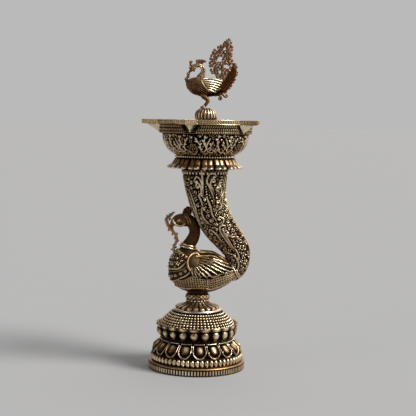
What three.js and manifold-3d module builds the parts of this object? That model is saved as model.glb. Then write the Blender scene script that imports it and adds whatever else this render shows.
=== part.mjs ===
// Brass oil lamp: a peacock on a lotus pedestal whose tail sweeps up as a column, carrying a
// five-spouted oil bowl with a small peacock finial. Millimetres, +Z up. The origin is the
// centre of the foot's underside, and the peacock faces -X.
import * as THREE from "three";
import { mergeVertices } from "three/addons/utils/BufferGeometryUtils.js";
import Module from "manifold-3d";

const wasm = await Module();
wasm.setup();

// Driving dimensions
const GAP = 0.3; // between two pieces that seat on or in each other
const WALL = 3; // cast wall of the pedestal and the tail column
const BODY_WALL = 6; // heavier wall of the large bird, which carries everything above it

const FOOT_RADIUS = 48.5;
const FOOT_HEIGHT = 8.2;
const BEAD_BAND_HEIGHT = 8; // band of upright beads above the foot
const BEAD_COUNT = 60;
const BEAD_DEPTH = 1.1;
const PETAL_COUNT = 18; // large petals of the pedestal
const WAIST_RADIUS = 35.5;
const BASE_HEIGHT = 46; // to the top of the upper leaf band
const LEAF_BAND_RADIUS = 41.5;
const LEAF_COUNT = 22;
const RIM_LIP_HEIGHT = 2.6; // the leaf band stands this far above the web that carries the dome

const DOME_HEIGHT = 13.2;
const DOME_TOP_RADIUS = 25.5;
const DOME_ROWS = 6;

const CUSHION_RADIUS = 24.5; // polished ring under the turned-over lotus
const CUSHION_HEIGHT = 9.7;
const CUSHION_FLUTES = 20;
const COLLAR_RADIUS = 12.4;
const COLLAR_HEIGHT = 7.8;

const TIE_ROD_RADIUS = 3;
const TIE_NUT_HEIGHT = 5;
const TIE_WASHER_THICKNESS = 1.4;
const ROD_PAST_NUT = 2.5;
const ROD_IN_BODY = 12;

const PEACOCK_LENGTH = 73.5; // breast to tail root, and scales the whole lower bird
const COLUMN_HEIGHT = 125.1; // from the bird's seat to the column's top
const COLUMN_TOP_RADIUS = 24;
const BOWL_OFFSET = 5; // the bowl's axis, from the pedestal's axis
const COLUMN_BOSS = 30; // solid upper end of the column, which takes the bowl's stud

const SKIRT_RADIUS = 39; // petal tips of the skirt under the bowl
const SKIRT_HEIGHT = 10.6;
const SKIRT_PETALS = 16;
const RING_RADIUS = 30.2; // rope ring between skirt and bowl
const RING_HEIGHT = 2.8;

const BOWL_RADIUS = 48; // outer edge of the rim between spouts
const BOWL_HEIGHT = 34.7;
const BOWL_FLOOR = 3.6;
const RIM_HEIGHT = 4.5;
const SPOUT_COUNT = 5;
const SPOUT_TURN = -5; // degrees that the first spout is turned from -X, as the bowl sits on its stud
const SPOUT_REACH = 64; // spout tip from the bowl's axis
const SPOUT_HALF_WIDTH = 9;
const SPOUT_DEPTH = 14; // rim to keel, at the bowl's wall
const SPOUT_WALL = 1.8;
const POST_RADIUS = 7.5; // central post of the bowl
const POST_BELOW_RIM = 2.5;
const BOWL_STUD_RADIUS = 4;
const BOWL_STUD_REACH = 9; // into the bowl
const BOWL_STUD_IN_COLUMN = 12;
const BOWL_LOWER_WALL = [29.4, 0, 33.2, 1.8, 38.4, 5.8, 41.8, 11.8, 43.4, 17.8, 43.6, 20.4];

const FINIAL_STUD_RADIUS = 2.6;
const FINIAL_STUD_IN_POST = 13;
const FINIAL_STUD_IN_KNOB = 8;
const KNOB_RADIUS = 11.4;
const KNOB_HEIGHT = 14;
const KNOB_FLUTES = 20;
const FINIAL_SIZE = 1; // scale of the small bird, its tail and its vine

// Materials
const antiqueBrass = new THREE.MeshStandardMaterial({ color: 0x8c7648, roughness: 0.38, metalness: 1 });
const darkBrass = new THREE.MeshStandardMaterial({ color: 0x4d3a26, roughness: 0.45, metalness: 1 });
const brightBrass = new THREE.MeshStandardMaterial({ color: 0xc4a868, roughness: 0.25, metalness: 1 });
const steel = new THREE.MeshStandardMaterial({ color: 0x8a8a88, roughness: 0.4, metalness: 1 });

// A closed geometry as a solid for joins and cuts
function solidOf(geometry) {
  const bare = geometry.clone();
  bare.deleteAttribute("normal");
  bare.deleteAttribute("uv");
  const merged = mergeVertices(bare, 1e-4);
  const kept = [];
  const corners = merged.index.array;
  for (let i = 0; i < corners.length; i += 3) {
    const [a, b, c] = [corners[i], corners[i + 1], corners[i + 2]];
    if (a !== b && b !== c && c !== a) kept.push(a, b, c);
  }
  return new wasm.Manifold(
    new wasm.Mesh({
      numProp: 3,
      vertProperties: merged.attributes.position.array,
      triVerts: new Uint32Array(kept),
    }),
  );
}

// The largest separate body of a solid, without slivers that a cut leaves
function mainBody(solid) {
  return solid.decompose().sort((a, b) => b.volume() - a.volume())[0];
}

function addPiece(group, name, solid, material) {
  const cut = solid.getMesh();
  const geometry = new THREE.BufferGeometry();
  geometry.setAttribute("position", new THREE.BufferAttribute(new Float32Array(cut.vertProperties), 3));
  geometry.setIndex(new THREE.BufferAttribute(new Uint32Array(cut.triVerts), 1));
  geometry.computeVertexNormals();
  const mesh = new THREE.Mesh(geometry, material);
  mesh.name = name;
  group.add(mesh);
  return mesh;
}

// Revolves a flat list r, z, r, z ... about Z. The profile runs anticlockwise, up its outside.
function turned(profile, segments = 48) {
  const points = [];
  for (let i = 0; i < profile.length; i += 2) points.push(new THREE.Vector2(profile[i], profile[i + 1]));
  points.push(points[0].clone());
  return solidOf(new THREE.LatheGeometry(points, segments).rotateX(Math.PI / 2));
}

function cylinder(radius, low, high, segments = 24) {
  return turned([0, low, radius, low, radius, high, 0, high], segments);
}

// Joins rings of points into a closed surface, with a fan over each end
function loft(rings) {
  const count = rings[0].length;
  const at = [];
  const index = [];
  rings.forEach((ring) => ring.forEach((p) => at.push(p.x, p.y, p.z)));
  for (let i = 0; i + 1 < rings.length; i++)
    for (let j = 0; j < count; j++) {
      const a = i * count + j;
      const b = i * count + ((j + 1) % count);
      index.push(a, b, b + count, a, b + count, a + count);
    }
  [0, rings.length - 1].forEach((end) => {
    const middle = new THREE.Vector3();
    rings[end].forEach((p) => middle.addScaledVector(p, 1 / count));
    const centre = at.length / 3;
    at.push(middle.x, middle.y, middle.z);
    for (let j = 0; j < count; j++) {
      const a = end * count + j;
      const b = end * count + ((j + 1) % count);
      if (end === 0) index.push(centre, b, a);
      else index.push(centre, a, b);
    }
  });
  const geometry = new THREE.BufferGeometry();
  geometry.setAttribute("position", new THREE.BufferAttribute(new Float32Array(at), 3));
  geometry.setIndex(index);
  return solidOf(geometry);
}

// A tube along stations [x, z, radius] in the plane of symmetry, its radius eased between them
function tube(stations, { sides = 8, steps = 3 * stations.length, grow = 0, width = 1, y = 0 } = {}) {
  const eased = new THREE.CatmullRomCurve3(stations.map(([x, z, r]) => new THREE.Vector3(x, r, z)));
  const rings = [];
  for (let i = 0; i <= steps; i++) {
    const p = eased.getPoint(i / steps);
    const before = eased.getPoint(Math.max(0, i - 0.5) / steps);
    const after = eased.getPoint(Math.min(steps, i + 0.5) / steps);
    const along = new THREE.Vector2(after.x - before.x, after.z - before.z).normalize();
    const radius = p.y + grow;
    const ring = [];
    for (let j = 0; j < sides; j++) {
      const turn = (2 * Math.PI * (j + 0.5)) / sides;
      const out = radius * Math.cos(turn);
      ring.push(
        new THREE.Vector3(p.x + along.y * out, y + width * radius * Math.sin(turn), p.z - along.x * out),
      );
    }
    rings.push(ring);
  }
  return loft(rings);
}

// A bird's body through stations [x, lowest z, highest z, half width], grown outwards by grow
function birdBody(stations, { sides = 20, grow = 0 } = {}) {
  const last = stations.length - 1;
  return loft(
    stations.map(([x, low, high, half], i) => {
      const end = i === 0 ? -grow : i === last ? grow : 0;
      const ring = [];
      for (let j = 0; j < sides; j++) {
        const turn = (2 * Math.PI * (j + 0.5)) / sides;
        const y = (half + grow) * Math.cos(turn);
        ring.push(new THREE.Vector3(x + end, y, (low + high) / 2 + ((high - low) / 2 + grow) * Math.sin(turn)));
      }
      return ring;
    }),
  );
}

// A plate in the plane of symmetry from outline points [x, z], between y = low and y = high
function plate(outline, low, high) {
  const shape = new THREE.Shape(outline.map(([x, z]) => new THREE.Vector2(x, z)));
  const made = new THREE.ExtrudeGeometry(shape, { depth: high - low, bevelEnabled: false });
  return solidOf(made.rotateX(Math.PI / 2).translate(0, high, 0));
}

function ball(x, y, z, rx, ry, rz, across = 6, up = 4) {
  return solidOf(new THREE.SphereGeometry(1, across, up).scale(rx, ry, rz).translate(x, y, z));
}

// Copies of a solid, evenly spaced about Z
function ringOf(solid, count, offset = 0) {
  const copies = [];
  for (let i = 0; i < count; i++) copies.push(solid.rotate([0, 0, ((i + offset) * 360) / count]));
  return wasm.Manifold.union(copies);
}

// Rings [radius, z, depth of the lobes] about Z, with rounded lobes cut into the radius
function lobed(rings, lobes, perLobe) {
  const count = lobes * perLobe;
  return loft(
    rings.map(([radius, z, depth]) => {
      const ring = [];
      for (let j = 0; j < count; j++) {
        const within = ((j % perLobe) / perLobe) * 2 - 1;
        const turn = (2 * Math.PI * j) / count;
        const r = radius - depth * within * within;
        ring.push(new THREE.Vector3(r * Math.cos(turn), r * Math.sin(turn), z));
      }
      return ring;
    }),
  );
}

const scaled = (stations, by) => stations.map((station) => station.map((value) => value * by));

const root = new THREE.Group();

// Heights of the stack, each piece on the one below
const rodHole = TIE_ROD_RADIUS + GAP;
const webTop = BASE_HEIGHT - RIM_LIP_HEIGHT;
const webLow = webTop - WALL;
const domeLow = webTop + GAP;
const cushionLow = domeLow + DOME_HEIGHT + GAP;
const collarLow = cushionLow + CUSHION_HEIGHT + GAP;
const seat = collarLow + COLLAR_HEIGHT + GAP; // underside of the large peacock
const columnTop = seat + COLUMN_HEIGHT;
const skirtLow = columnTop + GAP;
const ringLow = skirtLow + SKIRT_HEIGHT + GAP;
const bowlLow = ringLow + RING_HEIGHT + GAP;
const postTop = BOWL_HEIGHT - POST_BELOW_RIM; // above bowlLow
const knobLow = bowlLow + postTop + GAP;

// Pedestal, in tiers: foot, bead band, large petals, waist with upper leaves, lip
function lotusBase() {
  const bandLow = FOOT_HEIGHT;
  const bandTop = bandLow + BEAD_BAND_HEIGHT;
  const bandRadius = FOOT_RADIUS - 3.2;
  const waistZ = bandTop + 14;
  const leafLow = BASE_HEIGHT - 13;
  const lipLow = BASE_HEIGHT - 3.4;
  const foot = turned([
    0, 0,
    FOOT_RADIUS - 0.6, 0,
    FOOT_RADIUS, 1,
    FOOT_RADIUS, FOOT_HEIGHT - 2.4,
    FOOT_RADIUS - 1.6, FOOT_HEIGHT,
    0, FOOT_HEIGHT,
  ], 40);
  const beads = lobed(
    [
      [bandRadius - 1, bandLow - 0.2, 0.3],
      [bandRadius + 0.7, (bandLow + bandTop) / 2, BEAD_DEPTH],
      [bandRadius - 1, bandTop + 0.2, 0.3],
    ],
    BEAD_COUNT,
    2,
  );
  const petals = lobed(
    [
      [bandRadius - 4.5, bandTop, 3.4],
      [bandRadius - 1.6, bandTop + 2, 4.6],
      [bandRadius - 1.2, bandTop + 4.6, 3.6],
      [bandRadius - 3.6, bandTop + 8, 2.4],
      [WAIST_RADIUS + 1.4, bandTop + 11.6, 1.6],
      [WAIST_RADIUS, waistZ, 0.4],
    ],
    PETAL_COUNT,
    4,
  );
  const leaves = lobed(
    [
      [WAIST_RADIUS, waistZ - 0.4, 0],
      [WAIST_RADIUS + 0.4, leafLow, 0.2],
      [WAIST_RADIUS + 4, leafLow + 3.2, 2],
      [WAIST_RADIUS + 4.8, lipLow - 2, 1.8],
      [WAIST_RADIUS + 3.8, lipLow + 0.3, 0.6],
    ],
    LEAF_COUNT,
    2,
  );
  const lip = turned([
    0, lipLow,
    LEAF_BAND_RADIUS - 1.4, lipLow,
    LEAF_BAND_RADIUS, lipLow + 1.2,
    LEAF_BAND_RADIUS, BASE_HEIGHT,
    LEAF_BAND_RADIUS - 2.4, BASE_HEIGHT,
    LEAF_BAND_RADIUS - 3, webTop,
    0, webTop,
  ], 36);
  const hollow = turned([
    0, -1,
    FOOT_RADIUS - WALL - 1.5, -1,
    FOOT_RADIUS - WALL - 1.5, bandLow - WALL,
    bandRadius - 4.8 - WALL, bandTop - WALL,
    WAIST_RADIUS - WALL, waistZ - 2,
    WAIST_RADIUS - WALL, webLow,
    0, webLow,
  ], 32);
  return wasm.Manifold.union([foot, beads, petals, leaves, lip])
    .subtract(hollow)
    .subtract(cylinder(rodHole, webLow - 1, webTop + 1, 16));
}

// Low dome, ringed by rows of beads
function beadedDome() {
  const low = domeLow;
  const top = low + DOME_HEIGHT;
  const lowRadius = LEAF_BAND_RADIUS - 3 - GAP;
  const profile = [];
  const drop = (share) => lowRadius + (DOME_TOP_RADIUS - lowRadius) * share ** 1.35;
  for (let row = 0; row < DOME_ROWS; row++) {
    const start = row / DOME_ROWS;
    const middle = (row + 0.55) / DOME_ROWS;
    profile.push(drop(start) - 0.7, low + start * DOME_HEIGHT, drop(middle) + 0.5, low + middle * DOME_HEIGHT);
  }
  return turned([rodHole, low, ...profile, DOME_TOP_RADIUS - 0.6, top, rodHole, top], 32);
}

// Polished ring with a turned-over, fluted lotus on it
function lotusCushion() {
  const low = cushionLow;
  const top = low + CUSHION_HEIGHT;
  const ring = turned([
    rodHole, low,
    CUSHION_RADIUS - 1.4, low,
    CUSHION_RADIUS, low + 1.2,
    CUSHION_RADIUS - 0.2, low + 2.6,
    CUSHION_RADIUS - 1.6, low + 3.4,
    rodHole, low + 3.4,
  ], 32);
  const flutes = lobed(
    [
      [CUSHION_RADIUS - 2.2, low + 2.4, 0.8],
      [CUSHION_RADIUS - 3.4, low + 4.6, 1.1],
      [(CUSHION_RADIUS + COLLAR_RADIUS) / 2 - 2.2, low + 6, 1],
      [COLLAR_RADIUS - 0.4, low + 8.2, 0.6],
      [COLLAR_RADIUS - 0.8, top, 0.3],
    ],
    CUSHION_FLUTES,
    2,
  );
  return ring.add(flutes).subtract(cylinder(rodHole, low - 1, top + 1));
}

// Waisted collar between the lotus and the bird
function stemCollar() {
  const low = collarLow;
  const top = low + COLLAR_HEIGHT;
  return turned([
    rodHole, low,
    COLLAR_RADIUS - 1.2, low,
    COLLAR_RADIUS - 0.6, low + 1,
    COLLAR_RADIUS - 1.2, low + 2,
    COLLAR_RADIUS, low + 4.4,
    COLLAR_RADIUS - 0.5, top - 1,
    COLLAR_RADIUS - 1.6, top,
    rodHole, top,
  ], 24);
}

const nutTop = webLow - 2 * GAP - TIE_WASHER_THICKNESS;

function tieRod() {
  return cylinder(TIE_ROD_RADIUS, nutTop - TIE_NUT_HEIGHT - ROD_PAST_NUT, seat + ROD_IN_BODY);
}

function tieWasher() {
  const top = webLow - GAP;
  const outer = 2.5 * TIE_ROD_RADIUS;
  return turned([rodHole, top - TIE_WASHER_THICKNESS, outer, top - TIE_WASHER_THICKNESS, outer, top, rodHole, top], 18);
}

function tieNut() {
  const low = nutTop - TIE_NUT_HEIGHT;
  return cylinder(1.95 * TIE_ROD_RADIUS, low, nutTop, 6).subtract(cylinder(rodHole, low - 1, nutTop + 1));
}

const pedestal = new THREE.Group();
root.add(pedestal);
addPiece(pedestal, "lotus_base", lotusBase(), antiqueBrass);
addPiece(pedestal, "beaded_dome", beadedDome(), antiqueBrass);
addPiece(pedestal, "lotus_cushion", lotusCushion(), brightBrass);
addPiece(pedestal, "stem_collar", stemCollar(), antiqueBrass);
addPiece(pedestal, "tie_rod", tieRod(), steel);
addPiece(pedestal, "tie_washer", tieWasher(), steel);
addPiece(pedestal, "tie_nut", tieNut(), steel);

// Large peacock, modelled above its seat
const BIRD = PEACOCK_LENGTH / 73.5;
const bodyStations = scaled(
  [
    [-30, 20.5, 29.5, 6],
    [-28.5, 15, 35, 11],
    [-25, 10, 40.5, 15.5],
    [-20, 5.3, 45, 18.8],
    [-14, 2.3, 47, 21],
    [-7, 0.6, 46, 22.2],
    [0, 0.2, 43, 22.5],
    [7, 0.3, 42.2, 22],
    [14, 1.4, 41.6, 20.8],
    [21, 3.8, 38.8, 18.8],
    [28, 7.6, 34.4, 16],
    [35, 12.2, 29.6, 12.4],
    [40.5, 16.2, 26, 8],
    [43.5, 19, 23.2, 4.5],
  ],
  BIRD,
);
const hollowStations = bodyStations.slice(2, -2);
const neckStations = scaled(
  [
    [-10.6, 40, 8.4],
    [-10.3, 47, 7.3],
    [-7.6, 52.5, 6.2],
    [-5.5, 57.5, 5.2],
    [-4.6, 62.5, 4.9],
    [-5.2, 68, 5.2],
    [-8.3, 72.6, 5.3],
    [-13, 74.6, 5.4],
    [-18.5, 73.8, 5.6],
    [-22.8, 72.3, 4.6],
    [-26, 70.2, 2.6],
    [-28.2, 67.6, 1.3],
    [-29, 65.6, 0.7],
  ],
  BIRD,
);
const vineStations = scaled(
  [
    [-23.6, 80.4, 0.8],
    [-27.5, 78.8, 1.1],
    [-31.5, 76.4, 1.2],
    [-33.4, 72.8, 1.3],
    [-32.6, 68.8, 1.2],
    [-31, 65, 1.3],
    [-27.9, 60.6, 1.3],
    [-25.5, 56.5, 1.3],
    [-24.7, 52.5, 1.3],
    [-25.9, 49, 1.2],
    [-27.2, 46, 1.2],
    [-26.8, 42.4, 1.2],
    [-24.6, 38.6, 1.2],
  ],
  BIRD,
);
const vineLeaves = scaled(
  [
    [-22.8, 59.4, 1.9, 1.1],
    [-22.4, 55.6, 1.8, 1],
    [-22.6, 52, 1.7, 1],
    [-27.4, 81.4, 2.1, 1.6],
    [-22.2, 82.4, 2, 1.7],
    [-33.6, 76.2, 1.5, 1.2],
    [-34.2, 71.6, 1.2, 1.3],
    [-27.6, 44.6, 1.6, 1.1],
  ],
  BIRD,
);
const wingOutline = scaled(
  [
    [-12.4, 31], [-11, 36], [-7, 39], [0, 39.6], [8, 39.4], [15, 38.6], [22, 35.8], [29.5, 31.2],
    [36.5, 28.2], [33, 26], [34.5, 22.6], [29.6, 22.4], [30, 18.6], [24.6, 19.4], [23.6, 15.8],
    [18.6, 17.4], [16, 14.2], [12, 16.4], [7.6, 14.2], [5, 17.4], [0.6, 16.6], [-1.4, 20.2],
    [-5.4, 20.8], [-6.6, 24], [-10.4, 26],
  ],
  BIRD,
);
const WING_THICKNESS = 2.4;
const crestOutline = scaled(
  [
    [-14.2, 79.2], [-17.6, 81.6], [-19.6, 84.2], [-18.2, 85.2], [-17.4, 87.4], [-15.4, 87.2],
    [-13.6, 88.9], [-11.8, 87.7], [-9.8, 88.2], [-9.2, 86], [-8.4, 84], [-9, 81.4], [-9.6, 78.8],
  ],
  BIRD,
);
const CREST_THICKNESS = 3.4;

const seatRadius = COLLAR_RADIUS - 1.6;
const studHole = BOWL_STUD_RADIUS + GAP;

function peacockBody() {
  const boss = cylinder(seatRadius, 0, 9 * BIRD, 20);
  const rodBoss = cylinder(rodHole + WALL, 0, ROD_IN_BODY + WALL, 14);
  const rodBore = cylinder(rodHole, -1, ROD_IN_BODY + WALL + 1, 14);
  return birdBody(bodyStations)
    .add(boss)
    .subtract(birdBody(hollowStations, { sides: 14, grow: -BODY_WALL }))
    .add(rodBoss)
    .subtract(rodBore);
}

function wing(side) {
  const [low, high] = side > 0 ? [5, 40] : [-40, -5];
  return mainBody(
    plate(wingOutline, low * BIRD, high * BIRD)
      .intersect(birdBody(bodyStations, { grow: GAP + WING_THICKNESS }))
      .subtract(birdBody(bodyStations, { grow: GAP })),
  );
}

const grownBody = birdBody(bodyStations, { grow: GAP });

function peacockNeck() {
  return mainBody(tube(neckStations, { sides: 10, steps: 22 }).subtract(grownBody));
}

// Double ring round the root of the neck
function neckCollar() {
  const rings = [0, 1].map((i) =>
    solidOf(new THREE.TorusGeometry((9.5 - 0.9 * i) * BIRD, 1.3 * BIRD, 5, 18))
      .rotate([0, 22, 0])
      .translate([(-10.4 + 0.9 * i) * BIRD, 0, (45.9 + 2.2 * i) * BIRD]),
  );
  return mainBody(
    rings[0]
      .add(rings[1])
      .subtract(tube(neckStations, { sides: 10, steps: 22, grow: GAP }))
      .subtract(grownBody),
  );
}

function beakVine() {
  const leaves = vineLeaves.map(([x, z, across, up]) => ball(x, 0, z, across, 1.2 * BIRD, up, 5, 3));
  return mainBody(
    wasm.Manifold.union([tube(vineStations, { sides: 6, steps: 22 }), ...leaves])
      .subtract(tube(neckStations, { sides: 10, steps: 22, grow: GAP }))
      .subtract(grownBody),
  );
}

function headCrest() {
  const half = (CREST_THICKNESS / 2) * BIRD;
  return mainBody(
    plate(crestOutline, -half, half).subtract(tube(neckStations, { sides: 10, steps: 22, grow: GAP })),
  );
}

// Tail column: a hollow horn that leaves the bird's back and widens to the bowl's seat
const columnReach = COLUMN_HEIGHT / 125.1;
const columnStations = [
  [30, 16.5, 7.5],
  [35, 21.5, 9.8],
  [38.4, 27.5, 11.6],
  [39.6, 35, 12.7],
  [38.6, 43.8, 13.6],
  [33.6, 51.4, 14.5],
  [27.3, 59, 15.6],
  [21, 67, 16.8],
  [15.5, 76, 17.6],
  [11, 85.5, 18.3],
  [8, 95.5, 19.2],
  [6.4, 105.5, 20.7],
  [5.4, 115.5, 22.3],
  [5, 125.1, 24],
  [5, 130, 25],
].map(([x, z, r]) => {
  // The lower end keeps the bird's scale, the upper end follows the bowl's seat
  const share = THREE.MathUtils.smoothstep(z, 40, 115);
  const reach = BIRD + (columnReach - BIRD) * share;
  const offset = (BOWL_OFFSET - 5) * share;
  const girth = BIRD + (COLUMN_TOP_RADIUS / 24 - BIRD) * share;
  return [x * (BIRD + (1 - BIRD) * share) + offset, z * reach, r * girth];
});

// The strap where column and bird meet lies square to the horn's axis
const seam = [0.844, 0, 0.535];
const seamAt = (36 * seam[0] + 25 * seam[2]) * BIRD;

function tailColumn() {
  const outer = tube(columnStations, { sides: 18, steps: 24 });
  const hollow = tube(columnStations, { sides: 10, steps: 14, grow: -WALL });
  // Room for the wings: their outline spread out from the middle, and one gap thicker
  const room = wingOutline.map(([x, z]) => [x + (x - 12 * BIRD) * 0.03, z + (z - 27 * BIRD) * 0.03]);
  const wingSpace = birdBody(bodyStations, { grow: 2 * GAP + WING_THICKNESS });
  const wings = plate(room, -40 * BIRD, 40 * BIRD).intersect(wingSpace);
  const studLow = COLUMN_HEIGHT - BOWL_STUD_IN_COLUMN - GAP;
  const stud = cylinder(studHole, studLow, COLUMN_HEIGHT + 1).translate([BOWL_OFFSET, 0, 0]);
  return mainBody(
    outer
      .subtract(hollow.trimByPlane([0, 0, -1], COLUMN_BOSS - COLUMN_HEIGHT))
      .trimByPlane([0, 0, -1], -COLUMN_HEIGHT)
      .trimByPlane(seam, seamAt)
      .subtract(grownBody)
      .subtract(wings)
      .subtract(stud),
  );
}

const peacock = new THREE.Group();
peacock.position.z = seat;
root.add(peacock);
addPiece(peacock, "peacock_body", peacockBody(), antiqueBrass);
addPiece(peacock, "wing_right", wing(1), brightBrass);
addPiece(peacock, "wing_left", wing(-1), brightBrass);
addPiece(peacock, "peacock_neck", peacockNeck(), darkBrass);
addPiece(peacock, "neck_collar", neckCollar(), brightBrass);
addPiece(peacock, "beak_vine", beakVine(), darkBrass);
addPiece(peacock, "head_crest", headCrest(), darkBrass);
addPiece(peacock, "tail_column", tailColumn(), antiqueBrass);

// Skirt of petals, rope ring and stud under the bowl
function petalSkirt() {
  const hub = COLUMN_TOP_RADIUS - 0.4;
  const crown = RING_RADIUS - 1.2;
  const tip = SKIRT_RADIUS;
  const outer = [
    [hub, 0, 0],
    [hub, SKIRT_HEIGHT - 3.6, 0],
    [tip - 2.4, 0.2, 3.4],
    [tip, 0.9, 4],
    [(crown + tip) / 2 + 0.6, 5.4, 1.6],
    [crown + 1.2, SKIRT_HEIGHT - 2, 0.6],
    [crown, SKIRT_HEIGHT, 0],
  ];
  return lobed(outer, SKIRT_PETALS, 3).subtract(cylinder(studHole, -1, SKIRT_HEIGHT + 1));
}

function ropeRing() {
  const half = RING_HEIGHT / 2;
  return turned([
    studHole, 0,
    RING_RADIUS - 1, 0,
    RING_RADIUS, half * 0.7,
    RING_RADIUS, half * 1.3,
    RING_RADIUS - 1, RING_HEIGHT,
    studHole, RING_HEIGHT,
  ], 32);
}

const neckStack = new THREE.Group();
neckStack.position.set(BOWL_OFFSET, 0, skirtLow);
root.add(neckStack);
addPiece(neckStack, "petal_skirt", petalSkirt(), brightBrass);
addPiece(neckStack, "rope_ring", ropeRing().translate([0, 0, ringLow - skirtLow]), antiqueBrass);
const studLow = columnTop - BOWL_STUD_IN_COLUMN - skirtLow;
const studHigh = bowlLow + BOWL_STUD_REACH - skirtLow;
addPiece(neckStack, "bowl_stud", cylinder(BOWL_STUD_RADIUS, studLow, studHigh, 20), steel);

// Oil bowl with five wick spouts and a central post
const spoutDirections = [];
for (let i = 0; i < SPOUT_COUNT; i++) spoutDirections.push(180 + SPOUT_TURN + (i * 360) / SPOUT_COUNT);

function hull(points) {
  return wasm.Manifold.hull(points);
}

function spoutBeak() {
  const top = BOWL_HEIGHT;
  const rimLow = top - RIM_HEIGHT;
  const keel = top - SPOUT_DEPTH;
  const root = BOWL_RADIUS - 5;
  const tipHalf = 1.4;
  const lip = [1, -1].flatMap((s) => [
    [root, s * SPOUT_HALF_WIDTH, top],
    [root, s * SPOUT_HALF_WIDTH, rimLow],
    [SPOUT_REACH, s * tipHalf, top],
    [SPOUT_REACH, s * tipHalf, rimLow],
  ]);
  const beak = [1, -1].flatMap((s) => [
    [root - 1, s * (SPOUT_HALF_WIDTH - 1.6), rimLow + 0.2],
    [SPOUT_REACH - 1.6, s * (tipHalf - 0.6), rimLow + 0.2],
  ]);
  beak.push([root - 1, 0, keel], [root + 2.5, 0, keel]);
  return hull(lip).add(hull(beak));
}

function spoutChannel() {
  const top = BOWL_HEIGHT;
  const start = BOWL_RADIUS - 7.4;
  const wide = SPOUT_HALF_WIDTH - SPOUT_WALL;
  const end = SPOUT_REACH - 1.5 * SPOUT_WALL;
  return hull([
    [start, wide, top + 1],
    [start, -wide, top + 1],
    [end, 0.6, top + 1],
    [end, -0.6, top + 1],
    [end - 1, 0, top - 2],
    [start, 0, top - SPOUT_DEPTH + 2 * SPOUT_WALL],
  ]);
}

function oilBowl() {
  const top = BOWL_HEIGHT;
  const bandLow = top - 13.6;
  const grow = BOWL_RADIUS - 48;
  const lower = BOWL_LOWER_WALL.map((value, i) => (i % 2 ? value : value + grow * Math.min(1, i / 6)));
  const shell = turned([
    0, BOWL_FLOOR,
    0, 0,
    ...lower,
    BOWL_RADIUS - 2.2, bandLow + 0.4,
    BOWL_RADIUS - 1.2, top - RIM_HEIGHT,
    BOWL_RADIUS, top - RIM_HEIGHT,
    BOWL_RADIUS, top,
    BOWL_RADIUS - 3, top,
    BOWL_RADIUS - 4.2, top - RIM_HEIGHT,
    BOWL_RADIUS - 5, bandLow,
    BOWL_RADIUS - 8, bandLow - 7.6,
    BOWL_RADIUS - 13, bandLow - 14,
    BOWL_RADIUS - 20, BOWL_FLOOR,
  ], 36);
  const beaks = spoutDirections.map((turn) => spoutBeak().rotate([0, 0, turn]));
  const channels = spoutDirections.map((turn) => spoutChannel().rotate([0, 0, turn]));
  const basin = turned([
    0, bandLow, BOWL_RADIUS - 5, bandLow, BOWL_RADIUS - 4.2, top - RIM_HEIGHT, BOWL_RADIUS - 3, top,
    BOWL_RADIUS - 3, top + 1, 0, top + 1,
  ], 36);
  return wasm.Manifold.union([shell, ...beaks])
    .subtract(basin)
    .subtract(wasm.Manifold.union(channels))
    .add(cylinder(POST_RADIUS, BOWL_FLOOR - 1, postTop))
    .subtract(cylinder(studHole, -1, BOWL_STUD_REACH + 1))
    .subtract(cylinder(FINIAL_STUD_RADIUS + GAP, postTop - FINIAL_STUD_IN_POST - 1, postTop + 1));
}

const bowl = new THREE.Group();
bowl.position.set(BOWL_OFFSET, 0, bowlLow);
root.add(bowl);
addPiece(bowl, "oil_bowl", oilBowl(), antiqueBrass);

// Finial: a fluted knob with a small long-tailed peacock, above the bowl's post
function finialKnob() {
  const flute = 1.2;
  const sides = lobed(
    [
      [KNOB_RADIUS - 2.6, 0, 0.3],
      [KNOB_RADIUS - 0.6, 2.2, flute],
      [KNOB_RADIUS, 5.4, flute],
      [KNOB_RADIUS - 0.5, 9, flute],
      [KNOB_RADIUS - 1.5, KNOB_HEIGHT - 3, flute],
      [KNOB_RADIUS - 4, KNOB_HEIGHT - 1.2, 0.6],
      [KNOB_RADIUS - 8, KNOB_HEIGHT, 0.2],
    ],
    KNOB_FLUTES,
    2,
  );
  return sides.subtract(cylinder(FINIAL_STUD_RADIUS + GAP, -1, FINIAL_STUD_IN_KNOB + 1));
}

// The small bird stands on the knob; its own zero is the knob's underside
const finialLift = KNOB_HEIGHT - 14 * FINIAL_SIZE;
const placed = (stations, columns) =>
  stations.map((station) =>
    station.map((value, i) => value * FINIAL_SIZE + (columns.includes(i) ? finialLift : 0)),
  );
const smallBody = placed(
  [
    [-18, 36.4, 40, 3],
    [-16, 32.8, 42.6, 5.2],
    [-12, 29.6, 44.2, 7],
    [-7, 27.8, 44.7, 7.8],
    [-1, 27.4, 44, 7.6],
    [5, 28.6, 41.8, 6.6],
    [11, 30, 39.7, 4.8],
    [16, 32, 38.2, 3],
  ],
  [1, 2],
);
const smallNeck = placed(
  [
    [-5.4, 40, 4.4],
    [-3.4, 45, 3.3],
    [-2, 49.2, 2.5],
    [-2.6, 53.4, 2.2],
    [-5.6, 56, 2.3],
    [-9, 55, 2.9],
    [-11.6, 53.2, 2.7],
    [-14, 51.6, 1.5],
    [-15.6, 49.8, 0.7],
  ],
  [1],
);
const smallVine = placed(
  [
    [-14.2, 60.6, 0.6],
    [-15.8, 57, 1.2],
    [-16.6, 53.6, 1.2],
    [-17.4, 50, 1.1],
    [-16.2, 47.6, 1.1],
    [-18, 45.6, 1.1],
    [-19.6, 42, 1.1],
    [-18.4, 38.6, 1.1],
  ],
  [1],
);
const legStations = placed(
  [
    [-4, 30.4, 2.6],
    [-1, 26.6, 2],
    [2.6, 22, 1.2],
    [1.4, 18.6, 1],
    [0, 15.2, 1.1],
    [-4.2, 14.6, 0.7],
  ],
  [1],
);
const LEG_SPREAD = 3 * FINIAL_SIZE;

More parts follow.
